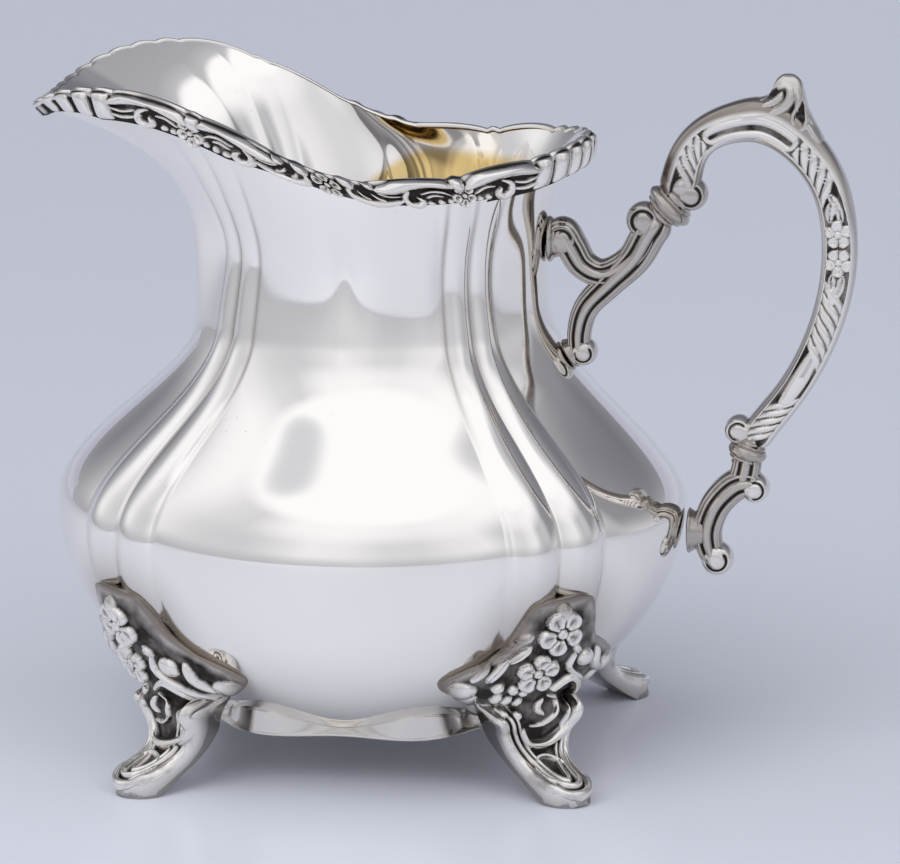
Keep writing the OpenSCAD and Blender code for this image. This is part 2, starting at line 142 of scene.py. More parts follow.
def rim_z(x):
    """Height of the lip: a half cosine from the low stretch up to the high one over the spout,
    then a power drop to the tip, and a square rise to the handle side."""
    run = part(x, RIM_LOW[0], RIM_HIGH[0] - RIM_LOW[0])
    tip = np.maximum(0, RIM_HIGH[0] - x) / (MOUTH_SHIFT + MOUTH_HALF_L + RIM_HIGH[0])
    back = np.maximum(0, x - RIM_LOW[0]) / (MOUTH_HALF_L - MOUTH_SHIFT - RIM_LOW[0])
    climb = (RIM_HIGH[1] - RIM_LOW[1]) * (1 - np.cos(np.pi * run)) / 2
    return RIM_LOW[1] + climb - SPOUT_DROP * tip ** 2.2 + BACK_RISE * back ** 2


def rim(angle):
    """The lip in plan: an oval with power 2 at the handle side and 3 at the spout. Its points are
    crowded towards the handle by a sine of 8 degrees."""
    a = np.radians(angle - 8 * np.sin(np.radians(angle)))
    n = np.where(np.cos(a) < 0, 3, 2)
    side, end = np.abs(np.sin(a)) / MOUTH_HALF_W, np.abs(np.cos(a)) / MOUTH_HALF_L
    r = (end ** n + side ** n) ** (-1 / n)
    x = r * np.cos(a) - MOUTH_SHIFT
    return np.stack([x, r * np.sin(a), rim_z(x)], -1)


def sheet(angle, v):
    """Outside of the sheet: v is 0 at the bottom edge, 1 at the waist and 2 at the lip. Above the
    waist the fluted circle blends into the lip's oval by the power 3.85 of the height."""
    way = np.stack([np.cos(np.radians(angle)), np.sin(np.radians(angle))], -1)
    z = BASE_Z + (WAIST_Z - BASE_Z) * v
    low_r = (profile(z) - shoulder_draw(angle, z)) * flute(angle, 1.0) - neck_draw(angle, z)
    up = np.maximum(0, v - 1)
    lip = rim(angle)
    high_z = WAIST_Z + (lip[..., 2] - WAIST_Z) * up
    neck_r = WAIST_R * flute(angle, 1 - (1 - RIM_FLUTE_SHARE) * up) - neck_draw(angle, high_z)
    blend = up[..., None] ** 3.85
    neck = neck_r[..., None] * way * (1 - blend) + lip[..., :2] * blend
    high = np.concatenate([neck, high_z[..., None]], -1)
    low = np.concatenate([low_r[..., None] * way, z[..., None]], -1)
    return np.where(v[..., None] <= 1, low, high)


def sheet_normal(angle, v):
    """Outward normal: the cross product of the slopes round and up the sheet."""
    round_step = sheet(angle + 0.5, v) - sheet(angle - 0.5, v)
    return unit(np.cross(round_step, sheet(angle, v + 0.004) - sheet(angle, v - 0.004)))


def sheet_slope(angle, v):
    """Direction up the sheet, of length 1."""
    return unit(sheet(angle, v + 0.01) - sheet(angle, v - 0.01))


def run_along(points):
    """Distance of each point of a line from its first, by adding up the chords."""
    return np.concatenate([[0], np.cumsum(np.linalg.norm(np.diff(points, axis=0), axis=1))])


def lip_places(side):
    """Angles along one side of the lip and their distance from the spout's tip."""
    angles = side * np.linspace(180, 0, 2001)
    return angles, run_along(rim(angles))


FLOWER_PLACE = 79.4
BAR_SPANS = ((8.2, 22.6), (26.0, 39.6))
GADROON_PITCH, GADROON_START = 4.75, 42.2
BAR_RISE, GADROON_RISE, GADROON_SUNK, PETAL_RISE = 0.95, 0.75, 0.3, 0.45
TIP_FALL, FALL_START, FALL_SPAN = 0.75, -55, -20


def bell(value, middle, width):
    """A bell curve: 1 at its middle, and 1 over e at its width from there."""
    return np.exp(-((value - middle) / width) ** 2)


def lip_wave(angle):
    """Rise of the lip's edge in mm: an arch over each plain bar of the border, a small scallop
    over each gadroon, a bell curve beside each flower, and a fall at the spout's tip."""
    angles, places = lip_places(1)
    d = np.interp(apart(angle), angles[::-1], places[::-1]) - FLOWER_PLACE
    off = np.abs(d)
    wave = np.zeros_like(off)
    for start, end in BAR_SPANS:
        wave += BAR_RISE * np.sin(np.pi * part(off, start, end - start)) ** 0.7
    scallop = GADROON_RISE * np.abs(np.cos(np.pi * (off - GADROON_START) / GADROON_PITCH))
    wave += np.where(off > GADROON_START - 0.5 * GADROON_PITCH, scallop - GADROON_SUNK, 0)
    small = bell(off, 24.3, 0.9) + bell(off, 4.0, 1.1)
    return wave + PETAL_RISE * small - TIP_FALL * part(d, FALL_START, FALL_SPAN)


def grid_faces(rows, cols, wrap_rows, wrap_cols):
    """Quads between neighbours of a grid of points that is numbered row by row."""
    i = np.arange(rows if wrap_rows else rows - 1)[:, None]
    j = np.arange(cols if wrap_cols else cols - 1)[None, :]
    up, across = (i + 1) % rows, (j + 1) % cols
    corners = [i * cols + j, i * cols + across, up * cols + across, up * cols + j]
    return np.stack([np.broadcast_to(c, (i.size, j.size)) for c in corners], -1).reshape(-1, 4)


def add_object(name, data):
    """An object in the scene's own collection."""
    added = bpy.data.objects.new(name, data)
    bpy.context.scene.collection.objects.link(added)
    return added


def make_piece(name, points, faces, node, material, marks):
    """A mesh in metres from points in mm about the body's axis, riding on the one body. Its marks
    are numbers at the points that the material reads."""
    mesh = bpy.data.meshes.new(name)
    placed = (points.reshape(-1, 3) + [AXIS_X, 0, 0]) * MM
    mesh.vertices.add(len(placed))
    mesh.vertices.foreach_set("co", placed.ravel())
    mesh.loops.add(faces.size)
    mesh.loops.foreach_set("vertex_index", faces.ravel().astype(np.int32))
    mesh.polygons.add(len(faces))
    mesh.polygons.foreach_set("loop_start", np.arange(0, faces.size, faces.shape[1], dtype=np.int32))
    mesh.update(calc_edges=True)
    for label, values in marks.items():
        layer = mesh.attributes.new(label, "FLOAT", "POINT")
        layer.data.foreach_set("value", np.asarray(values, np.float32).ravel())
    shell = bmesh.new()
    shell.from_mesh(mesh)
    # Points in one place, as in a ring that is drawn to its middle, become one
    bmesh.ops.remove_doubles(shell, verts=shell.verts, dist=1e-7)
    shell.to_mesh(mesh)
    shell.free()
    mesh.polygons.foreach_set("use_smooth", np.ones(len(mesh.polygons), bool))
    piece = add_object(name, mesh)
    mesh.materials.append(material)
    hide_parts(node)
    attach(piece, "root")


def node(tree, kind, **values):
    """A shader node of a kind. A key that starts with in_ sets an input, by its number or name,
    and any other key sets an attribute."""
    made = tree.nodes.new("ShaderNode" + kind)
    for key, value in values.items():
        if key.startswith("in_"):
            made.inputs[int(key[3:]) if key[3:].isdigit() else key[3:]].default_value = value
        else:
            setattr(made, key, value)
    return made


def wire(tree, *links):
    """Links in a node tree. Each names a node and its output, then a node and its input."""
    for source, output, target, socket in links:
        tree.links.new(source.outputs[output], target.inputs[socket])


# Handling marks: fine scratches, and tiny pits in patches, that every silver surface carries
handling = bpy.data.node_groups.new("handling_marks", "ShaderNodeTree")
for label, way in (("Scratches", "INPUT"), ("Height", "OUTPUT"), ("Dulling", "OUTPUT")):
    handling.interface.new_socket(name=label, in_out=way, socket_type="NodeSocketFloat")
group_in, group_out = handling.nodes.new("NodeGroupInput"), handling.nodes.new("NodeGroupOutput")
place = node(handling, "TexCoord")
scratch_map = node(handling, "Mapping", in_Scale=(900, 900, 160), in_Rotation=(0.4, 0.9, 0.2))
scratches = node(handling, "TexNoise", in_Scale=1.0, in_Detail=3.0)
pits = node(handling, "TexVoronoi", in_Scale=420.0)
pit_edge = node(handling, "MapRange", in_1=0.0, in_2=0.11, in_3=1.0, in_4=0.0)
patches = node(handling, "TexNoise", in_Scale=55.0, in_Detail=2.0)
patch_edge = node(handling, "MapRange", in_1=0.56, in_2=0.72)
pit_depth = node(handling, "Math", operation="MULTIPLY")
scratch_height = node(handling, "Math", operation="MULTIPLY")
height = node(handling, "Math", operation="SUBTRACT")
wire(handling, (place, "Object", scratch_map, "Vector"), (scratch_map, "Vector", scratches, "Vector"),
     (place, "Object", pits, "Vector"), (place, "Object", patches, "Vector"),
     (pits, "Distance", pit_edge, 0), (patches, "Fac", patch_edge, 0),
     (pit_edge, 0, pit_depth, 0), (patch_edge, 0, pit_depth, 1),
     (scratches, "Fac", scratch_height, 0), (group_in, "Scratches", scratch_height, 1),
     (scratch_height, 0, height, 0), (pit_depth, 0, height, 1),
     (height, 0, group_out, "Height"), (pit_depth, 0, group_out, "Dulling"))

SILVER, TARNISH_AND_SHADE = (0.955, 0.925, 0.875, 1), (0.16, 0.125, 0.10, 1)
GILT, PIT_GREY = (0.80, 0.60, 0.27, 1), (0.45, 0.42, 0.40, 1)


def silver(name, scratches, roughness, bump):
    """A bright metal with handling marks. Its roughness runs between the two values given as the
    input of its ramp goes from 0 to 1, and bump holds the marks' strength and height."""
    material = bpy.data.materials.new(name)
    material.use_nodes = True
    tree = material.node_tree
    shader = tree.nodes["Principled BSDF"]
    shader.inputs["Metallic"].default_value = 1.0
    marks = node(tree, "Group", node_tree=handling, in_Scratches=scratches)
    ramp = node(tree, "MapRange", in_3=roughness[0], in_4=roughness[1])
    bumped = node(tree, "Bump", in_Strength=bump[0], in_Distance=bump[1])
    wire(tree, (marks, "Height", bumped, "Height"), (bumped, "Normal", shader, "Normal"),
         (ramp, 0, shader, "Roughness"))
    return material, tree, shader, marks, ramp


def attribute(tree, label):
    """A node that reads one of the mesh's marks."""
    return node(tree, "Attribute", attribute_name=label)


def colour_mix(tree, **colours):
    """A mix of two colours: input 6 where its share, input 0, is 0, and input 7 where it is 1."""
    return node(tree, "Mix", data_type="RGBA", **colours)


def polished_silver():
    """Bright silver whose gilt inside, brown solder stains and painted shade come from the mesh's marks.
    """
    material, tree, shader, marks, ramp = silver("polished_silver", 0.25, (0.055, 0.38), (0.10, 0.00006))
    gilt, stain = attribute(tree, "gilt"), attribute(tree, "stain")
    gilded = colour_mix(tree, in_6=SILVER, in_7=GILT)
    stained, pitted = colour_mix(tree, in_7=TARNISH_AND_SHADE), colour_mix(tree, in_7=PIT_GREY)
    wire(tree, (gilt, "Fac", gilded, 0), (gilded, 2, stained, 6), (stain, "Fac", stained, 0),
         (stained, 2, pitted, 6), (marks, "Dulling", pitted, 0), (pitted, 2, shader, "Base Color"),
         (stain, "Fac", ramp, 0))
    return material


polished = polished_silver()


def body_angles():
    """Angles round the body: even steps over each wide panel and finer ones over the lobes, with
    a step's end on every crease."""
    panel = np.linspace(-PANEL_ANGLE, PANEL_ANGLE, 66, endpoint=False)
    lobes = np.linspace(PANEL_ANGLE, 90 - PANEL_ANGLE, 44, endpoint=False)
    return (np.concatenate([panel, lobes]) + 90 * np.arange(4)[:, None]).ravel()


def bowl_stations(low_count, high_count):
    """Places up the sheet: packed towards the bottom edge and towards the lip."""
    low = (np.arange(low_count) / low_count) ** 1.2
    return np.concatenate([low, 2 - (1 - np.arange(high_count + 1) / high_count) ** 1.35])


def body_surface(angles, stations):
    """Grid of points and normals of the outside, with the lip's edge raised by its wave."""
    v, a = np.meshgrid(stations, angles, indexing="ij")
    lift = lip_wave(a) * part(v, 1.7, 0.3) ** 2
    return sheet(a, v) + sheet_slope(a, v) * lift[..., None], sheet_normal(a, v)


LIP_DOME = 0.18
GILT_Z, GILT_DROP, GILT_START, GILT_SPAN, GILT_FADE = 106.3, 9, 6, 14, 1.6
FOOT_ANGLES = np.array([-135.0, -45.0, 45.0, 135.0])
HALO_TURN, HALO_Z, HALO_UP = 17.0, 30.0, 13.0
GROOVE_LOW, GROOVE_HIGH, GROOVE_FADE = 62, 112, 12

outer_points, outer_normals = body_surface(body_angles(), bowl_stations(92, 56))
inner_points, inner_normals = body_surface(body_angles(), bowl_stations(34, 30))
inner_points = inner_points - WALL * inner_normals
lip_line = outer_points[-1] - 0.5 * WALL * outer_normals[-1] + [0, 0, LIP_DOME]
body_points = np.concatenate([outer_points, lip_line[None], inner_points[::-1]])
body_x, body_y, body_z = np.moveaxis(body_points, -1, 0)
body_turn = np.degrees(np.arctan2(body_y, body_x))
inside_row = np.arange(len(body_points))[:, None] > len(outer_points)
# The gilt ends at a line below the lip, which drops towards the spout
gilt_edge = GILT_Z - GILT_DROP * np.clip((GILT_START - body_x) / GILT_SPAN, 0, 2) ** 1.5
gilt_share = np.where(inside_row, part(gilt_edge, body_z, GILT_FADE), 0)
# Brown stains lie round the feet and in the grooves beside the lobes of the neck
from_foot = apart(body_turn[..., None], FOOT_ANGLES).min(-1)
foot_ring = np.hypot(from_foot / HALO_TURN, (body_z - HALO_Z) / HALO_UP)
groove = bell(off_panel(body_turn), CORNER_ANGLE, 0.9) + bell(off_panel(body_turn), PANEL_ANGLE, 0.8)
groove *= 0.5 * part(body_z, GROOVE_LOW, GROOVE_FADE) * part(body_z, GROOVE_HIGH, -GROOVE_FADE)
stain_share = np.where(inside_row, 0, 0.75 * np.clip(1.35 - foot_ring, 0, 1) ** 1.5 + groove)
make_piece("raised_body", body_points, grid_faces(*body_points.shape[:2], True, True), "body_shell",
           polished, {"gilt": gilt_share, "stain": stain_share})

# Base plate
# A thin stamped disc closes the bottom, gilt on its inside. Its edge flares into eight shallow
# scallops that show as a skirt under the belly, and it is soldered to the body's open edge.

SCALLOP_R, SCALLOP_OUT, SCALLOP_UP = 36.4, 3.6, 3.4
PLATE_T, SEAT_GAP, PLATE_ROLL = 0.9, 0.05, 0.42


def plate_rings(angles):
    """Rings from the domed middle out to the scalloped edge and back up to the seam. The edge and
    the seam swing out and up by half of 1 less a cosine, eight times round."""
    scallop = (1 - np.cos(np.radians(8 * angles))) / 2
    edge_r = SCALLOP_R + SCALLOP_OUT * scallop
    top_z = BASE_Z - SEAT_GAP
    low_z = top_z - PLATE_T + 0.05
    seam_z = BASE_Z + 0.45 + SCALLOP_UP * scallop
    seam_r = profile(seam_z) * flute(angles, 1.0) + SEAT_GAP
    rings = [(0, low_z + 1.6), (0.35 * edge_r, low_z + 1.5), (0.62 * edge_r, low_z + 0.9),
             (0.8 * edge_r, low_z + 0.25), (edge_r - 1.2, low_z), (edge_r - 0.15, low_z + 0.02),
             (edge_r, low_z + 0.2), (edge_r - 0.1, low_z + PLATE_ROLL)]
    for share in (0.2, 0.4, 0.6, 0.8, 0.92, 1.0):
        rings.append((edge_r - 0.1 + (seam_r - edge_r + 0.1) * share ** 0.75,
                      low_z + PLATE_ROLL + (seam_z - low_z - PLATE_ROLL) * share ** 1.35))
    rings += [(seam_r - 0.6, seam_z - 0.2), (31, top_z), (0, top_z + 1.2)]
    way = np.cos(np.radians(angles)), np.sin(np.radians(angles))
    return np.stack([np.stack(np.broadcast_arrays(r * way[0], r * way[1], z), -1) for r, z in rings])


plate_points = plate_rings(np.linspace(0, 360, 480, endpoint=False))
rows, cols = plate_points.shape[:2]
gilt_ring = np.where(np.arange(rows) >= rows - 2, 1.0, 0.0)[:, None] * np.ones(cols)
# The plate's outside gets a light brown-grey tint: painted shade that dims its bright reflection
make_piece("scalloped_base", plate_points, grid_faces(rows, cols, False, True), "base_plate",
           polished, {"gilt": gilt_ring, "stain": 0.3 * (1 - gilt_ring)})

# Rim border
# A cast strip of scrolls, leaves, flowers and gadroons, in two halves that meet at the spout and
# behind the handle. It is soldered to the outside of the lip, and its hollows are oxidised black.

BORDER_H, BORDER_DEEP, LIP_ROLL = 5.0, 0.35, 0.35
BORDER_COLS, BORDER_ROWS = 920, 46
UPRIGHT = 0.8
TIP_RUN, TIP_FADE = 36.0, 14.0
TIP_DROP, TIP_RELIEF, TIP_HANG = 0.35, 0.68, 0.5


def along(points, count):
    """A smooth curve through control points: each stretch is the cubic whose slope at a point is
    half the step between that point's neighbours."""
    points = np.asarray(points, float)
    t = np.linspace(0, len(points) - 1, count)
    i = np.minimum(t.astype(int), len(points) - 2)
    f = (t - i).reshape((-1,) + (1,) * (points.ndim - 1))
    a, b, c, d = (points[np.clip(i + k, 0, len(points) - 1)] for k in (-1, 0, 1, 2))
    return (2 * b + (c - a) * f + (2 * a - 5 * b + 4 * c - d) * f ** 2
            + (3 * b - a - 3 * c + d) * f ** 3) / 2


def dome(u, power=2):
    """Root of 1 less a power of u, and 0 where u is past 1."""
    return np.sqrt(np.clip(1 - np.abs(u) ** power, 0, None))


def ridge(x, y, route, width, height, thin=0.35):
    """A round ridge along a route: height times the root of 1 less the square of the distance
    over the half width. The half width draws in to a share of itself at both ends."""
    line = along(route, 90)
    dist = np.hypot(x[..., None] - line[:, 0], y[..., None] - line[:, 1])
    share = dist.argmin(-1) / 89
    half = width * (thin + (1 - thin) * np.sin(np.pi * np.clip(share, 0.02, 0.98)) ** 0.6)
    return height * dome(dist.min(-1) / half) * (half / width) ** 0.5


def cos_sin(degrees):
    """Cosine and sine of an angle in degrees."""
    return math.cos(math.radians(degrees)), math.sin(math.radians(degrees))


def boss(x, y, middle, radii, height, turn=0.0):
    """An oval boss: height times the root of 1 less the squared distance in units of its radii."""
    c, s = cos_sin(turn)
    u = ((x - middle[0]) * c + (y - middle[1]) * s) / radii[0]
    v = ((y - middle[1]) * c - (x - middle[0]) * s) / radii[1]
    return height * np.sqrt(np.clip(1 - u ** 2 - v ** 2, 0, None))


def flower(x, y, middle, radius, height, turn=0.0):
    """Five petals round a domed heart. A petal is an oval whose middle is sunk by a bell curve,
    which leaves a raised rim, with a fine crease down it. Thin grooves part the petals."""
    dx, dy = x - middle[0], y - middle[1]
    r, step = np.hypot(dx, dy), 2 * np.pi / 5
    local = (np.arctan2(dy, dx) - math.radians(turn)) % step - step / 2
    u = (r * np.cos(local) - 0.60 * radius) / (0.42 * radius)
    v = r * np.sin(local) / (0.41 * radius)
    d = (np.abs(u) ** 2.4 + np.abs(v) ** 2.4) ** (1 / 2.4)
    petal = dome(d, 7) * (1 - 0.42 * np.exp(-(d / 0.6) ** 4))
    petal *= 1 - 0.35 * bell(v, 0, 0.1) * bell(u, -0.3, 0.6)
    between = r * np.sin(step / 2 - np.abs(local)) / (0.055 * radius)
    petal *= (1 - 0.85 * bell(between, 0, 1)) * (1 - 0.7 * bell(r / radius, 0.27, 0.05))
    heart = dome(r / (0.24 * radius)) * (1 - 0.45 * bell(r, 0, 0.10 * radius))
    return height * np.maximum(petal, 1.05 * heart)


def ornament(x, y, flowers, bosses, ridges):
    """The heights at x and y of each flower, boss and ridge in three lists."""
    return ([flower(x, y, *each) for each in flowers] + [boss(x, y, *each) for each in bosses]
            + [ridge(x, y, *each) for each in ridges])


def blurred(grid, passes):
    """The grid after that many passes of a quarter, half, quarter filter along both ways."""
    for _ in range(passes):
        for axis in (0, 1):
            wide = np.pad(grid, [(1, 1) if k == axis else (0, 0) for k in (0, 1)], mode="edge")
            low, high = (np.take(wide, np.arange(grid.shape[axis]) + k, axis) for k in (0, 2))
            grid = (low + 2 * grid + high) / 4
    return grid


def hollows(relief, passes, depth):
    """How far a point lies below the smoothed relief round it, from 0 on ridges to 1 in hollows,
    with level ground a little under the middle."""
    return np.clip(0.44 + (blurred(relief, passes) - relief) / depth, 0, 1)


def border_relief(d, t):
    """Height of the cast ornament in mm at d along the lip from the middle flower, and t down."""
    off = np.abs(d)
    parts = ornament(off, t, (
        ((0, 2.55), 2.75, 1.7, 90), ((24.9, 3.1), 2.55, 1.6, 60)), (
        ((4.15, 0.7), (1.65, 1.8), 2.1), ((8.2, 0.6), (1.1, 1.2), 1.8), ((24.2, 0.8), (1.45, 1.7), 2.1),
        ((18.2, 4.3), (0.9, 0.6), 1.1), ((20.2, 4.2), (0.75, 0.7), 1.1), ((22.0, 4.1), (0.7, 0.6), 1.1),
        ((28.4, 4.2), (0.8, 0.6), 1.1), ((30.2, 4.2), (0.8, 0.6), 1.1)), (
        ([(4.3, 1.6), (3.8, 2.8), (4.6, 4.0), (7.0, 4.7), (10.0, 4.5), (13.0, 3.6)], 1.0, 1.6),
        ([(5.6, 2.4), (6.2, 3.3), (7.3, 3.9)], 0.45, 1.1),
        ([(7.9, 2.5), (8.7, 3.4), (10.0, 3.8)], 0.45, 1.1),
        ([(8.8, 2.0), (10.6, 2.7), (13.2, 2.6)], 0.35, 1.0),
        ([(9.3, 1.5), (12, 1.0), (15.5, -0.1), (19, -0.4), (22.8, 0.9)], 1.5, 2.2),
        ([(15.0, 1.4), (13.8, 2.7), (14.1, 4.1), (15.6, 4.6), (16.7, 3.8), (16.1, 3.0)], 0.9, 1.6),
        ([(17.0, 2.2), (19.0, 1.6), (21.0, 2.0), (22.4, 2.9)], 0.4, 1.3),
        ([(17.6, 3.1), (19.2, 2.6), (20.8, 3.0)], 0.3, 1.0),
        ([(25.8, 1.5), (28.5, 0.4), (32, -0.4), (36, 0.0), (40.6, 1.3)], 1.45, 2.2),
        ([(33.4, 1.5), (34.9, 2.4), (34.9, 3.9), (33.5, 4.5), (32.3, 3.8), (32.8, 3.0)], 0.9, 1.6),
        ([(27.4, 3.0), (29.4, 2.0), (31.6, 2.2)], 0.4, 1.3),
        ([(36.0, 2.4), (38.4, 2.8), (41.0, 2.3)], 0.4, 1.2),
        ([(36.0, 3.7), (38.4, 4.0), (41.0, 3.5)], 0.4, 1.2)))
    # Gadroons: slanting beads along the rest of the lip
    phase = (off - GADROON_START + 0.12 * (t - 2)) / GADROON_PITCH
    bead = np.clip(1 - np.abs((phase - np.round(phase)) / 0.40) ** 2.4, 0, None)
    bead *= np.clip(1 - np.abs((t - 2.1) / 3.0) ** 3, 0, None)
    parts.append(np.where(phase > -0.5, 1.9 * np.sqrt(bead), 0))
    ground = 0.3 - 0.75 * part(t, 4.7, 0.25)
    top = np.max(parts, 0)
    return np.maximum(ground, top - np.where(top > 0, 0.05, 9))


CAST_BROWN, OXIDE = (0.20, 0.16, 0.13, 1), (0.040, 0.034, 0.031, 1)


def cast_silver():
    """Cast silver: bright on its ridges, black in its hollows, and brown where it was soldered, with
    brown-grey painted shade on parts of the grip.
    """
    material, tree, shader, marks, ramp = silver("cast_silver", 0.6, (0.17, 0.48), (0.25, 0.00008))
    hollow, stain = attribute(tree, "hollow"), attribute(tree, "stain")
    place = node(tree, "TexCoord")
    cloud = node(tree, "TexNoise", in_Scale=260.0, in_Detail=4.0)
    dark = node(tree, "Math", operation="MULTIPLY_ADD", in_1=0.7)
    dark_ramp = node(tree, "MapRange", in_1=0.77, in_2=1.16)
    brown = node(tree, "Math", operation="MULTIPLY", in_1=0.9)
    browned, blacked = colour_mix(tree, in_6=SILVER, in_7=CAST_BROWN), colour_mix(tree, in_7=OXIDE)
    wire(tree, (place, "Object", cloud, "Vector"), (cloud, "Fac", dark, 0), (hollow, "Fac", dark, 2),
         (dark, 0, dark_ramp, 0), (stain, "Fac", brown, 0), (brown, 0, browned, 0),
         (browned, 2, blacked, 6), (dark_ramp, 0, blacked, 0), (blacked, 2, shader, "Base Color"),
         (dark_ramp, 0, ramp, 0))
    return material


cast = cast_silver()


def make_casting(name, node_name, shells):
    """A piece made of closed shells, each a grid of rings with its hollow marks and its marks of stains
    and painted shade. The first and last ring of a shell are drawn to their own middles to close it, and
    its faces are turned round if the volume inside them comes out negative."""
    points, faces, marks, first = [], [], {"hollow": [], "stain": []}, 0
    for rings, *values in shells:
        start, end = (np.broadcast_to(ring.mean(0), ring.shape)[None] for ring in (rings[0], rings[-1]))
        grid = np.concatenate([start, rings, end])
        quads = grid_faces(*grid.shape[:2], False, True)
        corners = grid.reshape(-1, 3)[quads]
        middle = corners.mean((0, 1))
        a, b, c, d = (corners[:, k] - middle for k in range(4))
        volume = np.einsum("ij,ij->i", a, np.cross(b, c)) + np.einsum("ij,ij->i", a, np.cross(c, d))
        points.append(grid.reshape(-1, 3))
        faces.append((quads if volume.sum() > 0 else quads[:, ::-1]) + first)
        first += len(points[-1])
        for label, value in zip(marks, values):
            marks[label].append(np.concatenate([value[:1], value, value[-1:]]).ravel())
    marks = {label: np.concatenate(lists) for label, lists in marks.items()}
    make_piece(name, np.concatenate(points), np.concatenate(faces), node_name, cast, marks)


def flare_at(angle):
    """How far the lip flares out: 0 where it stands, 1 where its outside faces well down."""
    return part(-sheet_normal(angle, 2 + 0 * angle)[:, 2], 0.15, 0.4)


def make_border(side, node_name):
    """Half of the border: a grid down the lip raised along its normal by the ornament, then back
    up inside the sheet's wall. Where the lip flares out, the grid hangs down from the lip's edge
    instead of following the sheet, so that the casting still faces outwards there. Towards the
    spout's tip it is shorter, lower and hangs less."""
    angles, places = lip_places(side)
    spots = np.linspace(0.02, places[-1] - 0.02, BORDER_COLS)
    turn = np.interp(spots, places, angles)
    tip = part(spots, TIP_RUN, -TIP_FADE)
    top = -lip_wave(turn) - LIP_ROLL
    # The last six rows turn in at the border's foot and go back up inside the sheet's wall
    share = np.concatenate([np.linspace(0, 1, BORDER_ROWS), [1.0, 0.6, 0.22, 0.18, 0.08, 0.0]])
    depth = np.array([BORDER_DEEP, BORDER_DEEP, BORDER_DEEP, WALL + 0.2, WALL + 0.22, 0.75 * WALL])
    t = top + (BORDER_H + 0.6 - top) * share[:, None]
    lip = np.broadcast_to(turn, t.shape)
    run = np.linalg.norm(sheet(lip, 2 + 0 * t) - sheet(lip, 1.99 + 0 * t), axis=-1) / 0.01
    drop = np.maximum(t, 0) * (1 - TIP_DROP * tip)
    v = 2 - drop / run
    relief = border_relief(np.broadcast_to(spots - FLOWER_PLACE, t.shape), t) * (1 - TIP_RELIEF * tip)
    edge = part(t, top, 0.8)
    relief = np.where(relief > 0, relief * np.sqrt(1 - (1 - edge) ** 2), relief)
    front = relief[:BORDER_ROWS]
    lift = np.concatenate([front, -depth[:, None] + 0 * t[BORDER_ROWS:]])
    facing = sheet_normal(lip, v)
    hang = (UPRIGHT * flare_at(turn) * (1 - TIP_HANG * tip))[:, None]
    hang = np.where(np.arange(len(share))[:, None, None] < BORDER_ROWS, hang, 0)
    facing = unit(facing * (1 - hang) + unit(facing * [1, 1, 0]) * hang)
    plumb = sheet(lip, 2 + 0 * t) - [0, 0, 1] * drop[..., None]
    points = sheet(lip, v) * (1 - hang) + plumb * hang
    points = points - sheet_slope(lip, v) * np.minimum(t, 0)[..., None] + facing * lift[..., None]
    ground = np.clip(1.3 - front / 0.7, 0, 1) * part(t[:BORDER_ROWS], top, 1.2)
    hollow = np.maximum(hollows(front, 14, 0.9), ground)
    hollow = np.concatenate([hollow, np.zeros((len(depth), len(spots)))]).T
    shell = (points.transpose(1, 0, 2), hollow, 0.12 + 0.5 * hollow ** 3)
    make_casting(node_name + "_cast", node_name, [shell])


make_border(-1, "rim_border_left")
make_border(1, "rim_border_right")

# Feet
# Four castings from one pattern: a leafy shield against the bowl, with flowers and scrolls, drawn
# in to a leg with a turned-out toe. Each is soldered on, which leaves a brown halo round it.

FOOT_H, WING_HALF, TOE_R = 40.5, 19.8, 60.0
SHIELD_EDGE = 1.2
SHIELD_SHARES = ((1, .2, .3), (.975, .33, .45), (.915, .42, .6), (.84, .475, .75), (.76, .53, .85),
                 (.695, .63, .9), (.64, .8, .95), (.592, .96, 1.1), (.55, 1, 1.35), (.508, .92, 1.65),
                 (.465, .73, 2), (.425, .53, 2.35))
LEG_SHARES = ((.835, .37, .702, .355, .49), (.817, .3, .708, .27, .425), (.812, .235, .735, .195, .365),
              (.832, .175, .776, .128, .31), (.872, .135, .826, .075, .28),
              (.918, .11, .876, .025, .265), (.96, .092, .925, -.012, .245),
              (.988, .065, .962, -.012, .19), (1, .03, .995, .01, .06))

# Places across a foot's front, packed towards its edges, and across its back
ACROSS = np.sin(np.linspace(-90, 90, 171) * np.pi / 180 * 0.92) / math.sin(math.radians(82.8))
BEHIND = np.linspace(0.92, -0.92, 21)
FOOT_ROWS = 250
EDGE_ROUND, HALO_WIDE, HALO_END, HALO_FADE = 1.8, 3.0, 27, 6


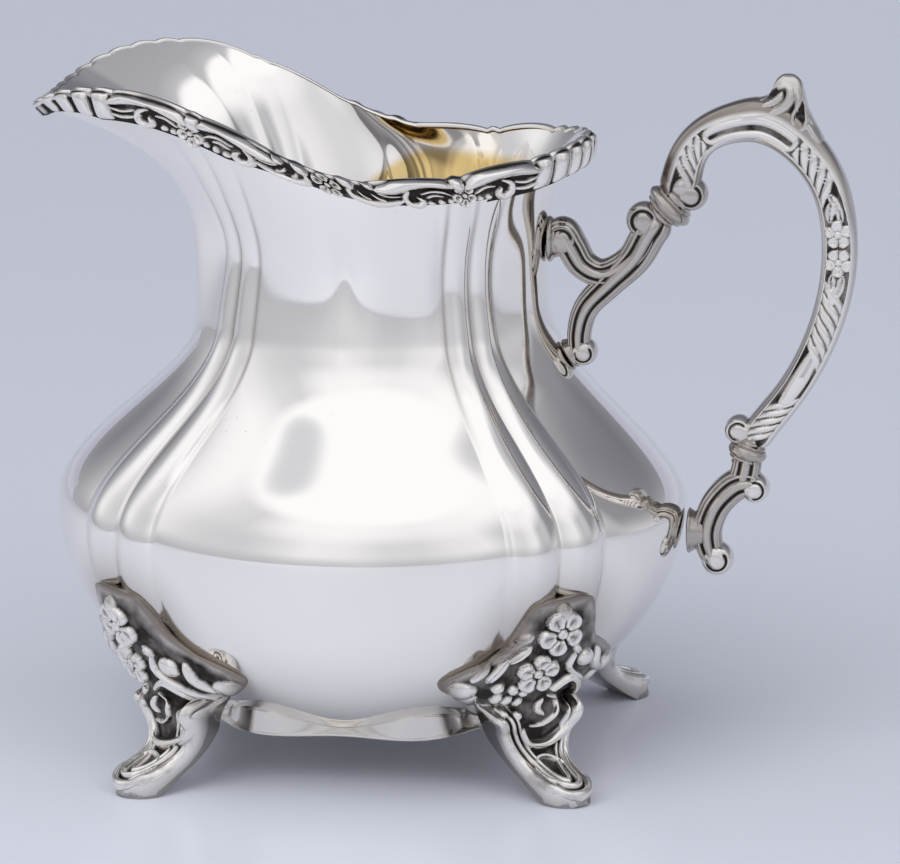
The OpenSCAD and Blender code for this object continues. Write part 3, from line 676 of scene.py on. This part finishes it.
def foot_rings(lean, drop):
    """Front and back points of each ring down the foot. On the shield they stand off the bowl by
    a parabola across, its edge and back follow the bowl's flutes, and on the leg they follow the
    leg's front and back. The tip of the shield is drop lower than the pattern's."""
    front, back_side, widths = [], [], []
    for high, half, thick in SHIELD_SHARES:
        z, w = high * FOOT_H - drop * max(0, high - 0.66) / 0.34, half * WING_HALF
        swing = lean * (1 - z / FOOT_H)
        r = float(profile(z)) + SEAT_GAP
        y, yb = w * ACROSS + swing, w * BEHIND + swing
        sunk, sunk_b = (r * (1 - np.mean([flute(CORNER_ANGLE + np.degrees(np.arcsin(k / r)) + near, 1.0)
                                          for near in (-4, -2, 0, 2, 4)], 0)) for k in (y, yb))
        stand = SHIELD_EDGE + (2.2 * SHIELD_EDGE * thick - SHIELD_EDGE / 2) * (1 - ACROSS ** 2)
        stand = stand - sunk * np.abs(ACROSS) ** 3
        front.append(np.stack([np.sqrt(r * r - y * y) + stand, y, 0 * y + z], -1))
        back_side.append(np.stack([np.sqrt(r * r - yb * yb) - sunk_b - 0.45, yb, 0 * yb + z], -1))
        widths.append(w)
    for front_r, front_z, back_r, back_z, half in LEG_SHARES:
        w = half * WING_HALF
        y, yb = w * ACROSS + lean * (1 - front_z), w * BEHIND + lean * (1 - back_z)
        front_x = front_r * TOE_R - SHIELD_EDGE * ACROSS ** 2
        front.append(np.stack([front_x, y, 0 * y + front_z * FOOT_H], -1))
        back_side.append(np.stack([0 * yb + back_r * TOE_R, yb, 0 * yb + back_z * FOOT_H], -1))
        widths.append(w)
    return np.array(front), np.array(back_side), np.array(widths)


def foot_relief(y, q, edge):
    """Height of a foot's ornament at y across and q down its face, both in mm, with edge the
    distance in from the outline: two mouldings inside a plain band, under flowers and scrolls."""
    low = part(q, 24, 5)
    grapes = ((-10.3, 20.2), (-7.4, 20.9), (-9.6, 22.8), (-7.7, 23.4), (-5.6, 24.1), (-7.6, 26.1),
              (-5.5, 26.7), (-5.2, 21.9))
    parts = ornament(y, q, (
        ((-0.8, 8.7), 4.6, 1.5, 58), ((-3.4, 17.6), 4.2, 1.5, 20)), (
        ((-0.6, 4.7), (1.7, 2.0), 1.2), ((7.5, 16.2), (2.2, 2.0), 1.6),
        ((-15.8, 20.4), (2.6, 1.6), 1.5, 25), ((-13.6, 23.3), (2.4, 1.4), 1.2, 45),
        ((15.6, 19.8), (2.8, 1.7), 1.5, -20), ((13.2, 22.8), (2.4, 1.4), 1.2, -45),
        *((place, (1.15 - 0.05 * k, 0.95), 1.3 - 0.05 * k, 40 * k) for k, place in enumerate(grapes))), (
        ([(-13.2, 12.8), (-13.4, 15.8), (-15.0, 18.0)], 0.9, 1.3),
        ([(-16.5, 21.4), (-12.8, 23.8), (-10.2, 26.2), (-8.9, 29.7), (-7.2, 34)], 0.9, 1.3),
        ([(4.2, 14.6), (3.5, 17.0), (5.0, 19.0), (7.6, 20.8), (9.4, 23.4), (9.8, 26.0)], 0.75, 1.3),
        ([(1.0, 21.9), (4.4, 19.9), (7.4, 22.4), (7.9, 26.9), (5.7, 30.9), (1.2, 33.2), (-2.6, 33.0),
          (-4.2, 30.2)], 1.15, 1.8),
        ([(-2.8, 29.4), (0.0, 29.2), (2.7, 27.2), (2.9, 24.7), (0.4, 23.5)], 0.45, 0.9),
        ([(-0.6, 24.3), (-1.4, 26.0), (-0.4, 27.2)], 0.7, 0.9),
        ([(11.2, 15.2), (11.4, 18.4), (14.0, 20.6)], 1.25, 1.4),
        ([(16.5, 21.0), (12.4, 23.6), (10.2, 27), (8.6, 31), (7.2, 34)], 0.9, 1.3),
        ([(1.5, 44.4), (3.0, 41.2), (2.6, 38.0), (0.6, 35.8), (-1.9, 35.8), (-3.3, 38.4), (-3.1, 41.6),
          (-1.6, 44.0), (0.2, 44.9)], 0.5, 1.0)))
    for start, end, half in (((-6.4, 8.8), (-9.2, 9.4), 0.95), ((-6.4, 11.2), (-9.6, 14.2), 1.0),
                             ((-8.8, 10.3), (-12.2, 12.2), 0.9), ((-9.9, 13.8), (-12.4, 18.4), 1.1),
                             ((3.6, 12.4), (5.0, 14.2), 0.8)):
        middle = ((start[0] + end[0]) / 2, (start[1] + end[1]) / 2)
        leaf = ridge(y, q, (start, middle, end), half, 1.25, 0.2)
        vein = ridge(y, q, (start, end), 0.28, 0.45)
        parts.append(np.where(leaf > 0, leaf - vein, 0))
    band = 1.15 * dome((edge - 0.7) / 1.35)
    for place, half, height in ((2.75, 0.5, 1.1), (3.85, 0.38, 0.9)):
        band = np.maximum(band, height * dome((edge - place) / half))
    parts.append(band * low)
    return np.max(parts, 0)


def make_foot(node_name, turn, lean, drop, low):
    """A foot from its rings: the front is raised along its own normals by the ornament, turned
    to its corner of the bowl, and cut flat at the table. The ornament sits low mm lower than on
    the pattern. The edge is rounded off, less towards the toe and at the top, and the brown halo
    of the solder follows it round the shield."""
    front, behind, widths = foot_rings(lean, drop)
    front, behind = along(front, FOOT_ROWS), along(behind, FOOT_ROWS)
    width = along(widths[:, None], FOOT_ROWS)[:, 0]
    q = run_along(front[:, len(ACROSS) // 2]) + drop - low
    y = width[:, None] * ACROSS
    down = np.broadcast_to(q[:, None], y.shape)
    to_edges = (width[:, None] * (1 - np.abs(ACROSS)), (q[-1] - down) * 0.9, down - q[0] + 0.2)
    edge = sum(np.maximum(k, 0.01) ** -3 for k in to_edges) ** (-1 / 3)
    relief = foot_relief(y, down, edge)
    normals = unit(np.cross(np.gradient(front, axis=1), np.gradient(front, axis=0)))
    normals *= np.sign(normals[..., :1].mean())
    rim_in = part(edge, 0, EDGE_ROUND)
    round_off = 1 - np.sqrt(1 - (1 - rim_in) ** 2)
    high = part(down, HALO_END, -HALO_FADE)
    halo = np.clip(1.3 - edge / HALO_WIDE, 0, 1) * high
    ground = np.clip(1.15 - relief / 0.55, 0, 1)
    hollow = np.maximum(hollows(relief, 18, 1.1), 0.77 * ground) * (1 - 0.5 * halo)
    hollow *= part(down, q[0], 1.6)
    fall = round_off * (0.5 + 0.3 * SHIELD_EDGE * high) * np.clip((down - q[0]) / 4, 0.1, 1)
    front = front + normals * (relief * np.sqrt(rim_in) - 0.35 * rim_in - fall)[..., None]
    rings = np.concatenate([front, behind], 1)
    rings[..., 2] = np.maximum(rings[..., 2], 0)
    c, s = cos_sin(turn)
    rings = rings @ np.array([[c, s, 0], [-s, c, 0], [0, 0, 1]])
    pad = np.zeros((FOOT_ROWS, len(BEHIND)))
    hollow = np.concatenate([hollow, pad + 0.1], 1)
    stain = np.concatenate([np.maximum(0.12 + 0.88 * halo, 0.7 * ground), pad + 0.5], 1)
    make_casting(node_name + "_cast", node_name, [(rings, hollow, stain)])


for node_name, turn, lean, drop, low in (
        ("foot_front_left", -135, 5.0, 3.0, 1.9), ("foot_front_right", -45, 2.5, 1.9, 0.0),
        ("foot_back_left", 135, 0.0, 2.4, 0.0), ("foot_back_right", 45, -6.0, 2.4, 0.0)):
    make_foot(node_name, turn, lean, drop, low)

# Handle
# Three castings: a two-legged bracket, the C-scroll grip with its thumb leaf, and a small lower
# bracket. Their faces carry mouldings, twisted leaves and flowers, and they meet at ring collars.

HALF_W, BAR_SUNK = 3.5, 0.55
UPPER_COLLAR, UPPER_TILT, UPPER_R = (54.4, 101.5), 45.0, 4.7
LOWER_COLLAR, LOWER_TILT, LOWER_R = (69.0, 56.5), 18.0, 3.6


def whole_turn(sides):
    """Even angles round a ring in radians, as a row."""
    return np.linspace(0, 2 * np.pi, sides, endpoint=False)[None, :]


def bar_rings(stations, relief_of, sides=96, power=2.6):
    """Rings of a bar along a route in the handle's upright plane. A station holds x, z, the half
    thickness in the plane and the half width across it. The section is a superellipse, its ends
    close as quarter rounds, and its two faces are raised by relief_of(length, lateral place)."""
    route, half_t, half_w = stations[:, :2], stations[:, 2:3], stations[:, 3:4]
    length = run_along(route)[:, None]
    tangent = unit(np.gradient(route, axis=0))
    to_end = np.minimum(length, length[-1] - length)
    closing = np.sqrt(np.clip(1 - (1 - np.clip(to_end / half_t, 0, 1)) ** 2, 0.0004, 1))
    turn = whole_turn(sides)
    c, s = np.cos(turn), np.sin(turn)
    lateral = np.sign(c) * np.abs(c) ** (2 / power)
    depth = np.sign(s) * np.abs(s) ** (2 / power)
    relief, hollow, stain = relief_of(np.broadcast_to(length, (len(length), sides)), lateral + 0 * length)
    side_face = np.clip(np.abs(depth) * 1.6 - 0.6, 0, 1)
    across = depth * half_w * closing + np.sign(depth) * relief * side_face * closing
    out = lateral * half_t * closing
    x = route[:, :1] - tangent[:, 1:] * out
    z = route[:, 1:] + tangent[:, :1] * out
    return np.stack([x, across, z], -1), hollow * side_face, stain + 0 * across


def moulded(length, lateral):
    """Mouldings along a bar: a round ridge down its middle and one near each side, over a floor
    that is sunk between the rolled edges."""
    out = np.abs(lateral)
    relief = -BAR_SUNK + BAR_SUNK * part(out, 0.78, 0.08)
    for place, half, height in ((0.62, 0.13, 0.7), (0.0, 0.3, 0.75)):
        relief = np.maximum(relief, -BAR_SUNK + height * dome((out - place) / half))
    hollow = np.clip(1 - (relief + BAR_SUNK) / 0.35, 0, 1)
    return relief, hollow, 0.6 + 0.3 * (out > 0.85)


def turned(place, tilt, outline):
    """A turned ring: radii along an axis that leans from upright towards the handle."""
    outline = along(outline, 60)
    turn, (c, s) = whole_turn(72), cos_sin(tilt)
    run, r = outline[:, :1], outline[:, 1:]
    across, level = r * np.sin(turn), r * np.cos(turn)
    x = place[0] + run * s + level * c
    z = place[1] + run * c - level * s
    low = blurred(np.broadcast_to(r, (60, 4)), 12)[:, :1]
    return np.stack([x, across, z], -1), part(low, r, 0.25) + 0 * across, 0.7 + 0 * across


def scroll_knob(place, radius, half_w, opening, cut, brown):
    """The rolled end of a scroll: a drum with domed faces. A round groove at three fifths of the
    radius, cut deep, leaves a domed eye and fades out on the side that opens into the bar."""
    share = np.concatenate([np.linspace(0, 1, 44) ** 0.8, np.linspace(1, 0, 44) ** 0.8])[:, None]
    face = np.where(np.arange(88) < 44, -1.0, 1.0)[:, None]
    turn = whole_turn(84)
    shut = np.clip(0.75 - np.cos(turn - math.radians(opening)), 0, 0.5) * 2
    groove = bell(share, 0.6, 0.12) * shut
    depth = half_w * (1 - share ** 4) ** 0.45 * (1.06 - 0.06 * share) - cut * groove
    x = place[0] + share * radius * np.cos(turn)
    z = place[1] + share * radius * np.sin(turn)
    return np.stack([x, face * depth, z], -1), groove, brown + 0 * x


def ring_collar(place, tilt, radius):
    """A bead between two fillets and two hollow necks."""
    outline = ((-2.6, 0.62), (-1.9, 0.66), (-1.45, 0.82), (-1.1, 0.8), (-0.85, 0.9), (0, 1), (0.85, 0.9),
               (1.1, 0.8), (1.45, 0.84), (1.9, 0.7), (2.6, 0.66))
    return turned(place, tilt, [(run, share * radius) for run, share in outline])


def bar_stations(middle, *places):
    """Stations of a bar from their places about a point, each with its two half sizes."""
    return along([(middle[0] + x, middle[1] + z, *halves) for x, z, *halves in places], 260)


NECK, SHOULDER_Z = (32.3, 94.8), 73.6
SHOULDER = (float(profile(SHOULDER_Z)), SHOULDER_Z)
arm = bar_stations(NECK, (0.4, -0.4, 2.6, 3.3), (2.6, 1.2, 3.0, 3.3), (4.4, -1.2, 2.9, 3.2),
                   (6.4, -4.4, 2.7, 3.0), (9.6, -5.9, 2.5, 2.9), (13.2, -4.6, 2.5, 2.9),
                   (16.6, -1.4, 2.6, 3.0), (18.4, 2.4, 2.7, 3.1), (19.6, 5.0, 2.8, 3.2))
leg = bar_stations(SHOULDER, (2.4, -0.2, 2.0, 2.9), (2.2, 4.4, 2.2, 2.9), (3.6, 9.0, 2.4, 3.0),
                   (7.6, 13.4, 2.7, 3.1), (12.2, 18.2, 3.1, 3.3), (14.9, 23.0, 3.3, 3.5),
                   (17.4, 26.6, 3.4, 3.5))
slope = 90 - math.degrees(math.atan2(float(profile(SHOULDER_Z - 1) - profile(SHOULDER_Z + 1)), 2))
shells = [bar_rings(arm, moulded), bar_rings(leg, moulded),
          scroll_knob((NECK[0] + 2.7, NECK[1] + 0.3), 3.1, 3.3, -60, 0.3, 0.65),
          scroll_knob((UPPER_COLLAR[0] - 4.6, UPPER_COLLAR[1] - 2.6), 3.3, 3.4, -50, 0.5, 0.65),
          scroll_knob((SHOULDER[0] + 3.1, SHOULDER_Z + 0.6), 2.5, 3.0, 110, 0.4, 0.4),
          turned((NECK[0] + 0.1, NECK[1]), 90,
                 [(0, 3.9), (0.25, 4.2), (0.7, 4.0), (1.3, 3.4), (2.4, 3.1)]),
          turned((SHOULDER[0] + 0.35, SHOULDER_Z), slope, [(0, 2.7), (0.3, 2.9), (0.9, 2.7), (1.8, 2.3)]),
          ring_collar(UPPER_COLLAR, UPPER_TILT, UPPER_R)]
make_casting("upper_bracket_cast", "upper_handle_bracket", shells)

FAR_X, CROWN_Z = 85.38, 117.9
GRIP_TOP, GRIP_FOOT = (55.28, 102.38), (69.39, 57.69)
GRIP_SHARES = ((.045, .8, 1.1), (.055, .88, .95), (.165, .952, .92), (.315, .983, 1),
               (.443, .995, 1.12), (.547, 1, 1.25), (.695, .957, 1.1), (.842, .885, 1.02),
               (.943, .797, .95), (.99, .696, .92), (1, .586, .92), (.98, .478, .9), (.906, .346, .86),
               (.8, .238, .82), (.69, .145, .8))
grip_route = [(GRIP_TOP[0], GRIP_TOP[1], HALF_W, HALF_W)]
grip_route += [(GRIP_TOP[0] + out * (FAR_X - GRIP_TOP[0]), GRIP_FOOT[1] + up * (CROWN_Z - GRIP_FOOT[1]),
                thick * HALF_W, HALF_W) for out, up, thick in GRIP_SHARES]
grip_route += [(GRIP_FOOT[0] + 0.86 * HALF_W, GRIP_FOOT[1] + 1.4 * HALF_W, 0.84 * HALF_W, HALF_W),
               (GRIP_FOOT[0], GRIP_FOOT[1], 0.85 * HALF_W, 0.9 * HALF_W)]
PANEL_OUT, PANEL_IN = ((0, 0.45), (13, 0.42), (22, 0.3), (34, 0.36), (52, 0.7), (97, 0.7)), -0.70
# Stretches of twisted leaves: where each starts and ends, its pitch and how far its leaves lean
TWISTS = ((4.6, 14.6, 2.0, 0.95), (31.0, 43.2, 2.45, -1.0), (61.0, 74.2, 2.2, 0.65),
          (83.4, 93.2, 1.95, -0.8))
SLOT_MIDDLE, SLOT_HALF, SLOT_R = 22.9, 8.0, 1.4
FACE_HALF = 3.3


def eased(stations, reach):
    """Stations averaged over their neighbours with the weights of a bell curve."""
    near = np.arange(-3 * reach, 3 * reach + 1)
    weights = np.exp(-0.5 * (near / reach) ** 2)
    wide = np.pad(stations, ((3 * reach, 3 * reach), (0, 0)), mode="reflect", reflect_type="odd")
    return np.stack([np.convolve(wide[:, k], weights / weights.sum(), "valid") for k in range(4)], 1)


def grip_relief(length, lateral):
    """Relief of the grip's faces: a sunk panel between two fine rims, filled by length with a
    tongue, twisted leaves, a long slot, twisted leaves, leaves and two flowers, and leaves. u runs
    over the panel from -1 to 1 and w is the same in mm."""
    outer = np.interp(length, *zip(*PANEL_OUT))
    half = (outer - PANEL_IN) / 2
    u = (lateral - (outer + PANEL_IN) / 2) / half
    w = u * half * FACE_HALF
    rims = bell(np.abs(u), 1.0, 0.10)
    inside = part(np.abs(u), 0.97, -0.06)
    from_slot = np.abs(length - SLOT_MIDDLE)
    lobes = ornament(length, w, (((50.6, 0), 2.6, 0.8, 0), ((55.7, 0), 2.6, 0.8, 36)),
                     (((2.4, -0.1), (2.6, 1.5), 0.65), ((95.0, -0.2), (2.4, 1.6), 0.65)), ())
    for start, end, pitch, lean in TWISTS:
        curl = 0.12 * np.sign(lean) * w * np.abs(w)
        phase = (length - start - lean * w - curl) / pitch
        strand = dome((phase - np.floor(phase) - 0.5) / 0.43) * (dome(u / 0.93, 5) * (from_slot > 9.8))
        lobes.append(np.where((phase > 0) & (phase < round((end - start) / pitch)), 0.66 * strand, 0))
    slot = np.abs(np.hypot((w + 0.1) / SLOT_R, np.maximum(0, from_slot - SLOT_HALF) / SLOT_R) - 0.78)
    lobes.append(np.where(from_slot < 11, 0.75 * dome(slot / 0.42), 0))
    for start, end, bow in ((43.2, 48.2, 0.8), (44.6, 48.0, -0.9), (62.6, 58.2, 0.8), (63.4, 58.1, -0.8)):
        line = ((start, 0.1 * bow), ((start + end) / 2, bow), (end, 1.3 * bow))
        vein = ridge(length, w, line, 0.28, 1, 0.1) > 0
        lobes.append(ridge(length, w, line, 0.85, 0.65, 0.2) - 0.45 * vein)
    vein = ridge(length, w, ((74.0, 0), (78.0, 0.1)), 0.32, 1, 0.2) > 0
    lobes.append(np.minimum(boss(length, w, (78.6, 0.0), (6.9, 1.75), 0.85), 0.66) - 0.5 * vein)
    top = np.max(lobes, 0)
    relief = np.where(inside > 0, -BAR_SUNK * inside + inside * top, 0) + 0.12 * rims
    hollow = 0.84 * np.clip(inside * (1.1 - top / 0.36), 0, 1)
    hollow *= np.where(from_slot < 9.6, 0.84, 1)
    # Painted shade: the outer band, stronger towards the crown, and the inner edge are darkened
    # brown-grey. The hollows and the end by the upper collar are browned as well
    back = part(lateral - outer, 0.05, 0.2) * (0.45 + 0.35 * part(length, 45, -20))
    inner_edge_shade = 0.8 * part(lateral, -0.82, -0.12)
    stain = np.maximum(np.maximum(back, inner_edge_shade), 0.6 * hollow)
    return relief, hollow, 0.12 + stain + 0.4 * part(length, 9, -6)


THUMB_BASE = ((63.5, 117.6), (67.0, 117.9), (71.0, 117.4), (74.6, 116.2), (77.8, 114.2), (81.0, 111.0),
              (83.0, 107.8))
THUMB_CREST = ((63.0, 119.3), (67.2, 121.0), (71.3, 122.0), (72.9, 123.2), (73.3, 124.9), (74.4, 125.9),
               (75.5, 126.1), (76.7, 125.9), (77.9, 124.8), (78.5, 122.9), (79.2, 120.2), (80.4, 117.7),
               (82.0, 114.8), (83.9, 110.4))
THUMB_HALF = 2.9


def thumb_relief(x, z):
    """Height of the thumb piece's leaves over a ground that is sunk between them: a long leaf that
    curls over at the top, a stem inside its curl, and two small leaves down the back."""
    top = np.max(ornament(x, z, (), (), (
        ([(65.0, 119.6), (68.4, 119.3), (71.6, 119.0), (74.2, 119.8), (75.8, 121.4), (76.1, 123.2),
          (75.2, 124.3), (74.0, 123.9)], 0.95, 1.0),
        ([(71.0, 120.4), (72.9, 121.0), (74.2, 122.1), (74.5, 122.9)], 0.65, 0.9),
        ([(73.6, 125.0), (75.5, 125.5), (77.0, 124.5), (77.6, 122.4), (77.2, 119.9)], 0.85, 0.9),
        ([(77.3, 120.3), (76.5, 118.6), (77.0, 116.9), (78.3, 116.4), (79.1, 118.0), (78.8, 120.6)],
         0.6, 0.9),
        ([(79.2, 117.5), (80.4, 115.6), (82.2, 113.6)], 0.9, 0.8))), 0)
    return top - 0.5, 0.8 * np.clip(1 - top / 0.5, 0, 1), 0.45 + 0 * x


def fin_rings(base, crest, half_w, relief_of):
    """Rings of a fin that stands on a bar: each goes up the front from the base line to the crest
    line and down the back. The faces round in to the crest by the root of 1 less the fourth
    power of the way up, and are raised by relief_of(x, z) short of the crest."""
    rows, steps = 150, 36
    base, crest = along(base, rows), along(crest, rows)
    rise = 1 - (1 - np.linspace(0, 1, steps)) ** 1.5
    up = np.concatenate([rise, rise[-2:0:-1]])
    face = np.where(np.arange(len(up)) < steps, -1.0, 1.0)
    place = base[:, None] + (crest - base)[:, None] * up[None, :, None]
    relief, hollow, stain = relief_of(place[..., 0], place[..., 1])
    inner = part(up, 0.86, -0.1)
    ends = np.sqrt(1 - np.linspace(-0.999, 0.999, rows) ** 10)[:, None]
    across = face * ends * (half_w * (1 - up ** 4) ** 0.5 + relief * inner)
    return np.stack([place[..., 0], across, place[..., 1]], -1), hollow * inner, stain


shells = [bar_rings(eased(along(grip_route, 640), 25), grip_relief, 112, 2.9),
          fin_rings(THUMB_BASE, THUMB_CREST, THUMB_HALF, thumb_relief),
          scroll_knob((UPPER_COLLAR[0] + 4.0, UPPER_COLLAR[1] + 2.3), 3.0, 3.2, 160, 0.4, 0.6),
          scroll_knob((GRIP_FOOT[0] - 2.0, GRIP_FOOT[1] + 3.0), 2.6, 3.2, -30, 0.4, 0.3)]
make_casting("grip_cast", "handle_grip", shells)

BELLY = (58.2, 41.4)
stem = bar_stations(BELLY, (6.6, -6.4, 1.9, 3.0), (4.4, -3.6, 2.4, 3.1), (3.7, 0.5, 2.7, 3.2),
                    (5.2, 5.0, 2.8, 3.3), (8.4, 8.6, 2.9, 3.3), (11.4, 9.4, 2.6, 3.2),
                    (12.8, 7.6, 1.8, 3.1))
riser = bar_stations(BELLY, (9.6, 8.4, 2.8, 3.2), (10.6, 12, 2.7, 3.0), (11.0, 15.6, 2.7, 2.8))
shells = [bar_rings(stem, moulded), bar_rings(riser, moulded),
          scroll_knob((BELLY[0] + 5.6, BELLY[1] - 5.0), 3.0, 3.2, 110, 0.45, 0.25),
          scroll_knob((BELLY[0] + 12.4, BELLY[1] + 8.4), 2.6, 3.3, 190, 0.35, 0.2),
          turned((BELLY[0] + 0.1, BELLY[1]), 90,
                 [(0, 3.9), (0.3, 4.2), (0.9, 3.8), (2.2, 3.2), (4.2, 2.9)]),
          ring_collar(LOWER_COLLAR, LOWER_TILT, LOWER_R)]
make_casting("lower_bracket_cast", "lower_handle_bracket", shells)

# The photographer's table
# Camera, lamps, a sheet of paper, and a room of painted light for the silver to mirror. None of
# it is part of the creamer.

CAMERA_UP, CAMERA_TURN, CAMERA_AWAY = math.radians(13), math.radians(8.4), 1000.0
PIXELS_PER_MM, IMAGE_W = 5.45, 900
LOOK_Z, LOOK_RIGHT = 57.8, 14.2
right = np.array([math.cos(CAMERA_TURN), math.sin(CAMERA_TURN), 0])
back = np.array([right[1] * math.cos(CAMERA_UP), -right[0] * math.cos(CAMERA_UP), math.sin(CAMERA_UP)])
target = np.array([AXIS_X, 0, LOOK_Z]) + LOOK_RIGHT * right
camera_data = bpy.data.cameras.new("photo_camera")
camera = add_object("photo_camera", camera_data)
camera.location = (target + CAMERA_AWAY * back) * MM
camera.rotation_euler = (math.pi / 2 - CAMERA_UP, 0, CAMERA_TURN)
camera_data.sensor_fit = "HORIZONTAL"
camera_data.sensor_width = 36
camera_data.lens = camera_data.sensor_width * PIXELS_PER_MM * CAMERA_AWAY / IMAGE_W
camera_data.clip_start = 0.05
camera_data.clip_end = 20
bpy.context.scene.camera = camera


def add_lamp(name, place, look, size, power):
    """A rectangular soft box that faces a point, in metres. The silver doesn't mirror it."""
    data = bpy.data.lights.new(name, "AREA")
    data.shape = "RECTANGLE"
    data.size, data.size_y = size
    data.energy = power
    lamp = add_object(name, data)
    lamp.location = place
    way = np.array(look) - np.array(place)
    away = math.hypot(way[0], way[1])
    lamp.rotation_euler = (math.atan2(away, -way[2]), 0, math.atan2(-way[0], way[1]))
    lamp.visible_glossy = False


add_lamp("key_soft_box", (-0.4, -0.72, 0.8), (0, -0.15, 0.03), (0.9, 0.9), 5.0)
add_lamp("fill_soft_box", (0.9, -0.9, 0.9), (0, 0, 0.05), (0.8, 0.8), 2.9)

# A sheet of paper that sweeps up behind the table, in metres
PAPER_HALF, PAPER_DEEP, PAPER_BEND, PAPER_TOP = 3.0, 2.2, 0.4, 0.55
PAPER_LOOK = (("Base Color", (0.69, 0.715, 0.79, 1)), ("Roughness", 0.28), ("Specular IOR Level", 0.35))
floor_mesh = bpy.data.meshes.new("floor")
quarter = np.linspace(0, 1, 13)[1:] * np.pi / 2
sweep_y = np.concatenate([[-PAPER_HALF, PAPER_DEEP], PAPER_DEEP + PAPER_BEND * np.sin(quarter),
                          [PAPER_DEEP + PAPER_BEND]])
sweep_z = np.concatenate([[0, 0], PAPER_BEND * (1 - np.cos(quarter)), [PAPER_TOP]])
floor_points = np.stack([np.stack([0 * sweep_y + side * PAPER_HALF, sweep_y, sweep_z], -1)
                         for side in (-1, 1)])
floor_faces = grid_faces(2, len(sweep_y), False, False)[:, ::-1]
floor_mesh.from_pydata(floor_points.reshape(-1, 3).tolist(), [], floor_faces.tolist())
floor_mesh.polygons.foreach_set("use_smooth", np.ones(len(floor_faces), bool))
floor = add_object("floor", floor_mesh)
paper = bpy.data.materials.new("table_paper")
paper.use_nodes = True
for label, value in PAPER_LOOK:
    paper.node_tree.nodes["Principled BSDF"].inputs[label].default_value = value
floor_mesh.materials.append(paper)

world = bpy.data.worlds.new("studio")
bpy.context.scene.world = world
world.use_nodes = True
room = world.node_tree
to_sky = node(room, "TexCoord")
split = node(room, "SeparateXYZ")
heading = node(room, "Math", operation="ARCTAN2")
heading_share = node(room, "Math", operation="MULTIPLY_ADD", in_1=1 / (2 * math.pi), in_2=0.5)
wire(room, (to_sky, "Generated", split, 0), (split, "Y", heading, 0), (split, "X", heading, 1),
     (heading, 0, heading_share, 0))
# Brightness of the room by compass heading in degrees, counted from the handle: close above the
# table, high on the walls, where the walls meet the bright ceiling, and on the ceiling
LOW_WALLS = ((-180, 0.50), (-160, 0.54), (-140, 0.55), (-122, 0.56), (-108, 0.61), (-96, 0.61),
             (-84, 0.64), (-70, 0.57), (-58, 0.56), (-40, 0.62), (-26, 0.55), (-12, 0.50), (0, 0.44),
             (12, 0.48), (26, 0.61), (44, 0.62), (56, 0.58), (66, 0.38), (80, 0.30), (110, 0.36),
             (128, 0.40), (150, 0.43), (162, 0.44), (174, 0.46), (180, 0.50))
HIGH_WALLS = ((-180, 0.84), (-165, 0.72), (-150, 0.67), (-134, 0.66), (-120, 0.76), (-106, 0.90),
              (-90, 0.87), (-74, 0.74), (-58, 0.73), (-44, 0.82), (-28, 0.87), (-18, 0.68), (-8, 0.54),
              (6, 0.58), (14, 0.52), (22, 0.31), (44, 0.28), (62, 0.20), (116, 0.20), (130, 0.24),
              (140, 0.38), (150, 0.54), (159, 0.80), (170, 0.90), (180, 0.84))
COVING = ((-180, 0.92), (-165, 0.78), (-146, 0.72), (-132, 0.88), (-120, 0.98), (-96, 1.00),
          (-72, 0.95), (-58, 0.92), (-24, 0.97), (-10, 1.01), (14, 1.02), (24, 0.78), (34, 0.45),
          (60, 0.30), (118, 0.30), (136, 0.60), (150, 0.98), (170, 1.00), (180, 0.92))
CEILING = ((-180, 1.04), (16, 1.04), (25, 0.56), (50, 0.44), (100, 0.40), (122, 0.46), (140, 1.02),
           (180, 1.04))


def brightness_ramp(stops):
    """A colour ramp over the compass, of greys that turn a little bluer as they darken."""
    ramp = node(room, "ValToRGB")
    elements = ramp.color_ramp.elements
    while len(elements) < len(stops):
        elements.new(0.5)
    for element, (degrees, value) in zip(elements, stops):
        element.position = (degrees + 180) / 360
        element.color = (0.99 * value ** 1.06, value ** 1.05, 1.05 * value ** 0.98, 1)
    wire(room, (heading_share, 0, ramp, 0))
    return ramp, 0


def room_mix(first, second, low, high):
    """The first colour where the view's direction rises by less than low, the second where it
    rises by more than high, and a smooth step between."""
    rise = node(room, "MapRange", interpolation_type="SMOOTHSTEP", in_1=low, in_2=high)
    mix = colour_mix(room)
    wire(room, (split, "Z", rise, 0), (rise, 0, mix, 0), (*first, mix, 6), (*second, mix, 7))
    return mix, 2


seen = room_mix(brightness_ramp(LOW_WALLS), brightness_ramp(HIGH_WALLS), 0.0, 0.34)
seen = room_mix(seen, brightness_ramp(COVING), 0.56, 0.82)
seen = room_mix(seen, brightness_ramp(CEILING), 0.84, 0.90)
# A dull spot in the ceiling, front left, where no lamp reaches
SPOT_WAY, SPOT_COLOUR = (-0.322, -0.045, 0.9455), (0.68, 0.70, 0.76, 1)
SPOT_RIM, SPOT_CORE = math.cos(math.radians(9)), math.cos(math.radians(1.5))
near_spot = node(room, "VectorMath", operation="DOT_PRODUCT", in_1=SPOT_WAY)
spot = node(room, "MapRange", interpolation_type="SMOOTHSTEP", in_1=SPOT_RIM, in_2=SPOT_CORE)
spotted = colour_mix(room, in_7=SPOT_COLOUR)
wire(room, (to_sky, "Generated", near_spot, 0), (near_spot, "Value", spot, 0), (spot, 0, spotted, 0),
     (*seen, spotted, 6), (spotted, 2, room.nodes["Background"], "Color"))
bpy.context.scene.view_settings.view_transform = "Standard"
